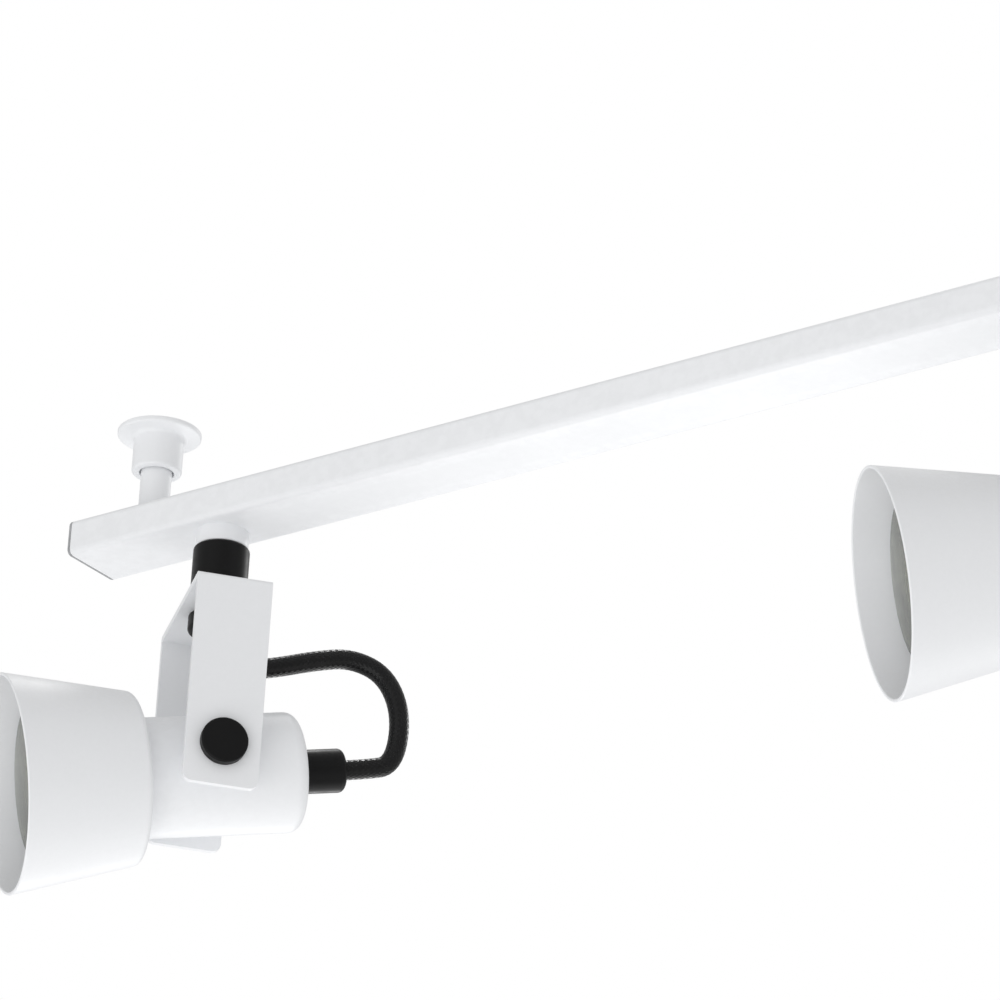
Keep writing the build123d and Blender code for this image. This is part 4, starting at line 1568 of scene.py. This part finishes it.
@dataclass
class Standoffs:
    """The two round standoffs that hold the bar off the ceiling."""

    hole: float = 2.2
    flange_radius: float = 16.85
    flange_thickness: float = 2.2
    flange_round: float = 1.0
    skirt: float = 1.9
    collar_radius: float = 10.05
    collar_round: float = 1.1
    mouth_radius: float = 7.0
    mouth_depth: float = 2.5
    stem_radius: float = 6.2
    stem_gap: float = 0.05
    thread_radius: float = 4.0
    thread_pitch: float = 1.25
    grub_height: float = 12.0
    grub_radius: float = 2.0

    def build_flange(self, side: str) -> bpy.types.Mesh:
        """One ceiling disc with its collar, bored for the stem, the ceiling screw and the grub screw.

        Args:
            side: left or right.

        Returns:
            The flange's mesh.
        """
        low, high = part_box(f"ceiling_flange_{side}")
        bottom = low.z / MM
        bore = self.stem_radius + self.stem_gap
        floor = -self.flange_thickness - 0.8
        outline = softened(
            [
                (self.hole, 0),
                (self.flange_radius, 0, 0.5),
                (self.flange_radius, -self.flange_thickness, self.flange_round),
                (self.collar_radius, -self.flange_thickness - 0.7, self.skirt),
                (self.collar_radius, bottom, self.collar_round),
                (self.mouth_radius, bottom, 0.3),
                (self.mouth_radius, bottom + self.mouth_depth),
                (bore, bottom + self.mouth_depth),
                (bore, floor),
                (self.hole, floor),
            ]
        )
        centre = (low + high) / 2
        collar = placed(turned(outline), Matrix.Translation((centre.x, centre.y, 0)))
        cutter = post(self.grub_radius, 0, 14, 40)
        back = basis(
            Vector((1, 0, 0)),
            Vector((0, 0, -1)),
            Vector((0, 1, 0)),
            Vector((centre.x, centre.y, -self.grub_height * MM)),
        )
        return smoothed(bored(collar, [placed(cutter, back)]))

    def build_stem(self, side: str) -> bpy.types.Mesh:
        """One stem with its threaded end through the bar's roof.

        Args:
            side: left or right.

        Returns:
            The stem's mesh.
        """
        low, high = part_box(f"standoff_stem_{side}")
        bar_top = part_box("bar_tube")[1].z / MM
        bottom, top = low.z / MM, high.z / MM
        thread = [
            (self.thread_radius, bottom + 0.5 + 0.12 * step)
            for step in range(int((bar_top - bottom - 0.6) / 0.12))
        ]
        outline = [
            (0, bottom), (self.thread_radius - 0.5, bottom), *thread, (self.thread_radius, bar_top)
        ]
        outline += softened([(self.stem_radius, bar_top, 0), (self.stem_radius, top, 0.6), (0, top, 0)])
        values = {
            "Start": bottom * MM,
            "End": (bar_top + 0.2) * MM,
            "Least Radius": (self.thread_radius - 0.6) * MM,
            "Pitch": self.thread_pitch * MM,
            "Depth": 0.55 * MM,
            "Finish": WHITE_PAINT.material(),
        }
        mesh = grown(Growth.THREAD.tree(), values, turned(outline, 96))
        centre = (low + high) / 2
        return smoothed(placed(mesh, Matrix.Translation((centre.x, centre.y, 0))))

    def build(self) -> None:
        """Makes and shows the standoffs."""
        for side in ("left", "right"):
            show(
                self.build_flange(side),
                f"ceiling_rose_{side}",
                WHITE_PAINT,
                Body.BAR.value,
                [f"ceiling_flange_{side}"],
            )
            show(
                self.build_stem(side),
                f"threaded_stem_{side}",
                WHITE_PAINT,
                Body.BAR.value,
                [f"standoff_stem_{side}"],
            )
        repaint(ZINC, "stem_nuts", "grub_screws")


@dataclass
class Swivel:
    """The pieces of both swivels that stay with the bar."""

    lamps: Sequence[LampPlace]
    bush_radius: float = 10.4
    sleeve_radius: float = 11.2
    sleeve_round: float = 1.3
    bore: float = 6.6
    groove_radius: float = 8.9
    groove_half_width: float = 1.45
    groove_depth: float = 3.0
    outlet_radius: float = 11.1
    outlet_round: float = 1.8
    cable_bore: float = 4.0
    nut_seat: float = 3.6
    nipple_radius: float = 6.5
    nipple_bore: float = 5.0
    nipple_pitch: float = 1.0

    def build_bushes(self) -> bpy.types.Mesh:
        """Both white bushes under the bar."""
        bottom, top = heights("bar_bosses")
        outline = softened(
            [
                (self.bore, bottom),
                (self.bush_radius, bottom, 0.7),
                (self.bush_radius, top),
                (self.bore, top),
            ]
        )
        return smoothed(joined([placed(turned(outline), lamp.on_swivel()) for lamp in self.lamps]))

    def build_sleeve(self, lamp: LampPlace) -> bpy.types.Mesh:
        """One black sleeve with the stop groove in its lower face.

        Args:
            lamp: The lamp that it carries.

        Returns:
            The sleeve's mesh.
        """
        bottom, top = heights(f"swivel_sleeve_{lamp.name}")
        inner = self.groove_radius - self.groove_half_width
        outer = self.groove_radius + self.groove_half_width
        outline = softened(
            [
                (self.bore, bottom),
                (inner, bottom),
                (inner, bottom + self.groove_depth),
                (outer, bottom + self.groove_depth),
                (outer, bottom),
                (self.sleeve_radius, bottom, 0.5),
                (self.sleeve_radius, top, self.sleeve_round),
                (self.bore, top),
            ]
        )
        return smoothed(placed(turned(outline), lamp.on_swivel()))

    def build_outlets(self) -> bpy.types.Mesh:
        """Both black nuts that the cables come out of."""
        bottom, top = heights("outlet_nuts")
        outline = softened(
            [
                (self.cable_bore, bottom, 0.4),
                (self.outlet_radius, bottom, self.outlet_round),
                (self.outlet_radius, top, 0.5),
                (self.bore, top),
                (self.bore, top - self.nut_seat),
                (self.cable_bore, top - self.nut_seat),
            ]
        )
        return smoothed(joined([placed(turned(outline), lamp.on_swivel()) for lamp in self.lamps]))

    def build_nipples(self) -> bpy.types.Mesh:
        """Both hollow threaded tubes."""
        bottom, top = heights("hollow_nipples")
        rows = int((top - bottom - 0.8) / 0.11)
        thread = [(self.nipple_radius, bottom + 0.4 + 0.11 * row) for row in range(rows)]
        outline = [
            (self.nipple_bore, bottom),
            (self.nipple_radius - 0.4, bottom),
            *thread,
            (self.nipple_radius - 0.4, top),
            (self.nipple_bore, top),
        ]
        values = {
            "Start": bottom * MM,
            "End": top * MM,
            "Least Radius": (self.nipple_radius - 0.6) * MM,
            "Pitch": self.nipple_pitch * MM,
            "Depth": 0.42 * MM,
            "Finish": ZINC.material(),
        }
        meshes = [
            placed(grown(Growth.THREAD.tree(), values, turned(outline, 72)), lamp.on_swivel())
            for lamp in self.lamps
        ]
        return smoothed(joined(meshes))

    def build(self) -> None:
        """Makes and shows the swivels' pieces."""
        bar = Body.BAR.value
        show(self.build_bushes(), "swivel_bushes", WHITE_PAINT, bar, ["bar_bosses"])
        for lamp in self.lamps:
            show(
                self.build_sleeve(lamp),
                f"swivel_collar_{lamp.name}",
                BLACK_SATIN,
                bar,
                [f"swivel_sleeve_{lamp.name}"],
            )
        show(self.build_outlets(), "cable_outlets", BLACK_SATIN, bar, ["outlet_nuts"])
        show(self.build_nipples(), "threaded_nipples", ZINC, bar, ["hollow_nipples"])
        repaint(ZINC, "nipple_nuts")


@dataclass
class Yoke:
    """The bent sheet yoke of one lamp, made round the pivot with X forwards and Y along the pin."""

    lamp: LampPlace
    width: float = 69.4
    sheet: float = 2.5
    arm_width: float = 29.9
    outer_bend: float = 1.6
    inner_bend: float = 0.5
    foot_radius: float = 3.6
    top: float = 71.2
    bottom: float = -17.4
    edge: float = 0.45
    bend_steps: int = 6
    foot_steps: int = 8
    nipple_hole: float = 6.6
    stud_hole: float = 3.3
    pin_hole: float = 1.1
    pin_reach: float = 8.9

    def stations(self) -> list[tuple[Vector, Vector, float]]:
        """The strip's stations from one foot to the other: outer point, inner point and half width."""
        half, inside = self.width / 2, self.width / 2 - self.sheet
        full = self.arm_width / 2
        arm = []
        for step in range(self.foot_steps + 1):
            angle = math.pi / 2 * step / self.foot_steps
            rise = self.bottom + self.foot_radius * (1 - math.cos(angle))
            arm.append(
                (
                    Vector((half, rise)),
                    Vector((inside, rise)),
                    full - self.foot_radius * (1 - math.sin(angle)),
                )
            )
        ceiling = self.top - self.sheet
        for step in range(self.bend_steps + 1):
            angle = math.pi / 2 * step / self.bend_steps
            ray = Vector((math.cos(angle), math.sin(angle)))
            outer = Vector((half - self.outer_bend, self.top - self.outer_bend)) + ray * self.outer_bend
            inner = Vector(
                (inside - self.inner_bend, ceiling - self.inner_bend)
            ) + ray * self.inner_bend
            arm.append((outer, inner, full))
        other = [
            (Vector((-outer.x, outer.y)), Vector((-inner.x, inner.y)), wide)
            for outer, inner, wide in reversed(arm)
        ]
        return arm + other

    def build(self) -> bpy.types.Object:
        """Makes and shows the yoke.

        Returns:
            The yoke's piece.
        """
        rings = []
        for outer, inner, wide in self.stations():
            corners = ((wide, outer), (-wide, outer), (-wide, inner), (wide, inner))
            rings.append([Vector((x, point.x, point.y)) * MM for x, point in corners])
        strip = stacked(rings)
        reach = self.width / 2 + 2
        stud = post(self.stud_hole, -reach, reach, 40)
        along_pin = Matrix.Rotation(math.radians(90), 4, "X")
        throat = post(self.nipple_hole, self.top - 6, self.top + 4, 64)
        pin = post(self.pin_hole, self.top - 6, self.top + 4, 24)
        pin = placed(pin, Matrix.Translation((-self.pin_reach * MM, 0, 0)))
        cut = bored(strip, [placed(stud, along_pin), throat, pin])
        mesh = placed(smoothed(eased(cut, self.edge), 50.0), self.lamp.on_yoke())
        name = self.lamp.name
        piece = show(mesh, f"bent_yoke_{name}", WHITE_PAINT, Body.YOKE.of(name), [f"yoke_{name}"])
        repaint(ZINC, f"stop_pin_{name}", f"spring_washer_{name}")
        return piece


@dataclass
class LampHead:
    """One lamp's housing, shade, screws and gland, made along Z from the pivot, mouth up."""

    lamp: LampPlace
    radius: float = 23.7
    wall: float = 1.7
    rear: float = -37.2
    front: float = 28.2
    rear_round: float = 5.0
    gland_hole: float = 6.1
    shade_rear: float = 33.9
    shade_mouth: float = 43.4
    shade_length: float = 51.9
    shade_wall: float = 1.3
    shade_round: float = 3.0
    shade_hole: float = 16.5
    screw_circle: float = 19.3
    screw_count: int = 3
    screw_head: float = 2.5
    screw_rise: float = 1.7
    screw_shank: float = 1.4
    screw_length: float = 5.5
    gland_radius: float = 8.7
    gland_length: float = 18.9
    gland_round: float = 2.6
    gland_bore: float = 4.0
    gland_thread: float = 6.0
    gland_inner: float = -32.7

    def build_housing(self) -> bpy.types.Mesh:
        """The round housing with its closed rear."""
        inside, floor = self.radius - self.wall, self.rear + self.wall
        outline = softened(
            [
                (self.gland_hole, self.rear),
                (self.radius, self.rear, self.rear_round),
                (self.radius, self.front),
                (inside, self.front),
                (inside, floor, self.rear_round - self.wall),
                (self.gland_hole, floor),
            ],
            12,
        )
        return turned(outline, 160)

    def build_shade(self) -> bpy.types.Mesh:
        """The conical shade with its flat rear plate and soft rim."""
        mouth = self.front + self.shade_length
        slope = math.atan2(self.shade_mouth - self.shade_rear, self.shade_length)
        wall = self.shade_wall / math.cos(slope)
        inner_rear = self.shade_rear + self.shade_wall * math.tan(slope) - wall
        outline = softened(
            [
                (self.shade_hole, self.front),
                (self.shade_rear, self.front, self.shade_round),
                (self.shade_mouth, mouth, 0.55),
                (self.shade_mouth - wall, mouth, 0.55),
                (inner_rear, self.front + self.shade_wall, self.shade_round - self.shade_wall),
                (self.shade_hole, self.front + self.shade_wall),
            ],
            9,
        )
        return turned(outline, 192)

    def build_screws(self) -> bpy.types.Mesh:
        """The pan-head screws that hold the shade, in a ring.

        Returns:
            The mesh of all the screws.
        """
        seat = 0.0
        head = softened(
            [
                (0, seat - self.screw_length - 0.4),
                (self.screw_shank - 0.3, seat - self.screw_length - 0.4),
                (self.screw_shank, seat - self.screw_length),
                (self.screw_shank, seat),
                (self.screw_head, seat),
                (self.screw_head, seat + self.screw_rise, 1.1),
                (0, seat + self.screw_rise),
            ]
        )
        screw = turned(head, 40)
        cutters = [self.recess(turn) for turn in (0, 90)]
        values = {
            "Count": self.screw_count,
            "Circle Radius": self.screw_circle * MM,
            "First Angle": math.radians(30),
            "Height": (self.front + self.shade_wall) * MM,
            "Finish": ZINC.material(),
        }
        return grown(Growth.RING.tree(), values, bored(screw, cutters))

    def recess(self, turn: float) -> bpy.types.Mesh:
        """One bar of the screws' cross recess, narrower at its foot."""
        top, foot = self.screw_rise + 0.3, self.screw_rise - 1.0
        rings = []
        for height, length, width in ((foot, 0.8, 0.22), (top, 1.7, 0.36)):
            rings.append(
                [
                    Vector((x * length, y * width, height)) * MM
                    for x, y in ((-1, -1), (1, -1), (1, 1), (-1, 1))
                ]
            )
        return placed(stacked(rings), Matrix.Rotation(math.radians(turn), 4, "Z"))

    def build_gland(self) -> bpy.types.Mesh:
        """The cable gland behind the housing."""
        end = self.rear - self.gland_length
        outline = softened(
            [
                (self.gland_bore, end, 0.5),
                (self.gland_radius, end, self.gland_round),
                (self.gland_radius, self.rear, 0.25),
                (self.gland_thread, self.rear),
                (self.gland_thread, self.gland_inner),
                (self.gland_bore, self.gland_inner),
            ],
            10,
        )
        return turned(outline)

    def build(self) -> None:
        """Makes and shows the head's pieces."""
        name = self.lamp.name
        head = Body.HEAD.of(name)
        place = self.lamp.on_lamp_axis()
        pieces = (
            (self.build_housing(), f"lamp_body_{name}", WHITE_PAINT, f"lamp_housing_{name}"),
            (self.build_shade(), f"spun_shade_{name}", WHITE_PAINT, f"shade_{name}"),
            (self.build_screws(), f"pan_head_screws_{name}", ZINC, f"shade_screws_{name}"),
            (self.build_gland(), f"rear_gland_{name}", BLACK_SATIN, f"cable_gland_{name}"),
        )
        for mesh, piece, finish, node in pieces:
            show(smoothed(placed(mesh, place)), piece, finish, head, [node])
        self.dress()

    def dress(self) -> None:
        """Finishes the head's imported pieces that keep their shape."""
        name = self.lamp.name
        repaint(CAST_ALUMINIUM, f"front_ring_{name}")
        repaint(STEATITE, f"lampholder_{name}")
        repaint(BRASS, f"shell_contact_{name}", f"centre_contact_{name}")
        repaint(BLACK_SATIN, f"gland_nut_{name}", f"pivot_washers_{name}")
        repaint(WHITE_PAINT, f"pivot_bosses_{name}")


@dataclass
class ClampKnobs:
    """The two clamping knobs of one lamp, made along Z from the pivot outwards."""

    lamp: LampPlace
    radius: float = 9.35
    thickness: float = 4.0
    face: float = 34.8
    stud_radius: float = 2.95
    stud_start: float = 22.2
    edge: float = 0.9
    crown: float = 0.12

    def build_knob(self) -> bpy.types.Mesh:
        """A flat round knob with a soft edge, a faint crown and a threaded stud."""
        top = self.face + self.thickness
        rows = int((self.face - self.stud_start - 0.8) / 0.11)
        thread = [(self.stud_radius, self.stud_start + 0.4 + 0.11 * row) for row in range(rows)]
        cap = softened(
            [
                (self.stud_radius, self.face),
                (self.radius, self.face, 0.4),
                (self.radius, top, self.edge),
                (0, top + self.crown),
            ]
        )
        outline = [(0, self.stud_start), (self.stud_radius - 0.4, self.stud_start), *thread, *cap]
        values = {
            "Start": self.stud_start * MM,
            "End": (self.face - 2.6) * MM,
            "Least Radius": (self.stud_radius - 0.5) * MM,
            "Pitch": 1.0 * MM,
            "Depth": 0.4 * MM,
            "Finish": BLACK_SATIN.material(),
        }
        return grown(Growth.THREAD.tree(), values, turned(outline, 112))

    def build(self) -> None:
        """Makes and shows both knobs."""
        name = self.lamp.name
        for kind, body, side in (("front_knob", Body.FRONT_KNOB, 1), ("rear_knob", Body.REAR_KNOB, -1)):
            mesh = smoothed(placed(self.build_knob(), self.lamp.on_pin(side)))
            show(mesh, f"clamp_{kind}_{name}", BLACK_SATIN, body.of(name), [f"{kind}_{name}"])


@dataclass
class Bulb:
    """One reflector bulb, made along Z from the pivot."""

    lamp: LampPlace
    tip: float = -22.0
    cap_radius: float = 13.1
    cap_front: float = 4.5
    cap_wall: float = 0.8
    cap_pitch: float = 3.63
    cap_depth: float = 1.0
    neck_radius: float = 15.4
    neck_front: float = 33.0
    rim_radius: float = 31.7
    rim: float = 64.5
    face: float = 70.5
    glass: float = 1.8
    dome: float = 1.8
    brow: float = 1.2
    seat: float = 4.0

    def flare(self, offset: float, steps: int = 36) -> Outline:
        """The reflector's curve from neck to rim, moved in by an offset."""
        start = Vector((self.neck_radius - offset, self.neck_front))
        end = Vector((self.rim_radius - offset, self.rim))
        pull = (end - start).length
        leave = Vector((0.15, 1.0)).normalized() * pull * 0.75
        arrive = Vector((0.25, 1.0)).normalized() * pull * 0.9
        points = []
        for step in range(steps + 1):
            t = step / steps
            spot = (
                start * (2 * t**3 - 3 * t**2 + 1)
                + leave * (t**3 - 2 * t**2 + t)
                + end * (3 * t**2 - 2 * t**3)
                + arrive * (t**3 - t**2)
            )
            points.append((spot.x, spot.y))
        return points

    def build_reflector(self) -> bpy.types.Mesh:
        """The mirrored reflector."""
        outside = [(self.cap_radius + 0.4, self.cap_front), *self.flare(0)]
        inside = [(self.cap_radius + 0.4 - self.glass, self.cap_front), *self.flare(self.glass)]
        return turned(outside + list(reversed(inside)), 128)

    def build_lens(self) -> bpy.types.Mesh:
        """The domed front glass, with lenslets pressed into its back."""
        edge = self.face - self.dome - self.brow
        back = edge - 0.2
        shoulder = self.rim_radius - self.brow
        ball = (shoulder**2 + self.dome**2) / (2 * self.dome)
        crown = []
        for step in range(25):
            radius = shoulder * (1 - step / 24)
            crown.append((radius, self.face - ball + math.sqrt(ball**2 - radius**2)))
        inner = self.rim_radius - self.seat
        rear = [(inner * step / 70, back) for step in range(71)]
        outline = [
            *crown, *rear, (inner, self.rim), (self.rim_radius, self.rim), (self.rim_radius, edge)
        ]
        values = {
            "Back Height": back * MM,
            "Pitch": 3.3 * MM,
            "Relief": 0.5 * MM,
            "Field Radius": (inner - 0.8) * MM,
            "Finish": GLASS.material(),
        }
        return grown(Growth.LENSLETS.tree(), values, turned(outline, 180))

    def build_cap(self) -> bpy.types.Mesh:
        """The rolled screw cap with its insulated tip."""
        rows = 110
        bottom, top = self.tip + 5.5, self.cap_front
        wall = [(self.cap_radius, bottom + (top - bottom) * row / rows) for row in range(rows + 1)]
        outline = [
            (0, self.tip),
            (3.6, self.tip),
            (5.5, self.tip + 1.6),
            (self.cap_radius - 1.5, self.tip + 4.0),
            *wall,
            (self.cap_radius - self.cap_wall - self.cap_depth, top),
            (self.cap_radius - self.cap_wall - self.cap_depth, self.tip + 6.3),
            (0, self.tip + 6.3),
        ]
        values = {
            "Start": (bottom - 0.5) * MM,
            "End": (top - 1.5) * MM,
            "Least Radius": (self.cap_radius - 0.3) * MM,
            "Pitch": self.cap_pitch * MM,
            "Depth": self.cap_depth * MM,
            "Finish": NICKEL.material(),
        }
        return grown(Growth.THREAD.tree(), values, turned(outline, 96))

    def build(self) -> None:
        """Makes and shows the bulb's pieces."""
        name = self.lamp.name
        place = self.lamp.on_lamp_axis()
        pieces = (
            (self.build_reflector(), f"bulb_bowl_{name}", MIRROR, f"bulb_reflector_{name}"),
            (self.build_lens(), f"bulb_front_glass_{name}", GLASS, f"bulb_lens_{name}"),
            (self.build_cap(), f"bulb_screw_cap_{name}", NICKEL, f"bulb_cap_{name}"),
        )
        for mesh, piece, finish, node in pieces:
            show(smoothed(placed(mesh, place)), piece, finish, Body.BULB.of(name), [node])


def main() -> None:
    """Builds the camera and cords, then the studio and each sub-assembly."""
    logging.basicConfig(level=logging.INFO, format="%(message)s")
    studio = Studio()
    studio.camera()
    lamps = [LampPlace.read(name) for name in ("left", "right")]
    for lamp in lamps:
        LampCable(lamp).build()
    studio.set_up()
    CeilingBar().build()
    Standoffs().build()
    Swivel(lamps).build()
    for lamp in lamps:
        Yoke(lamp).build()
        LampHead(lamp).build()
        ClampKnobs(lamp).build()
        Bulb(lamp).build()


if __name__ == "__main__":
    main()
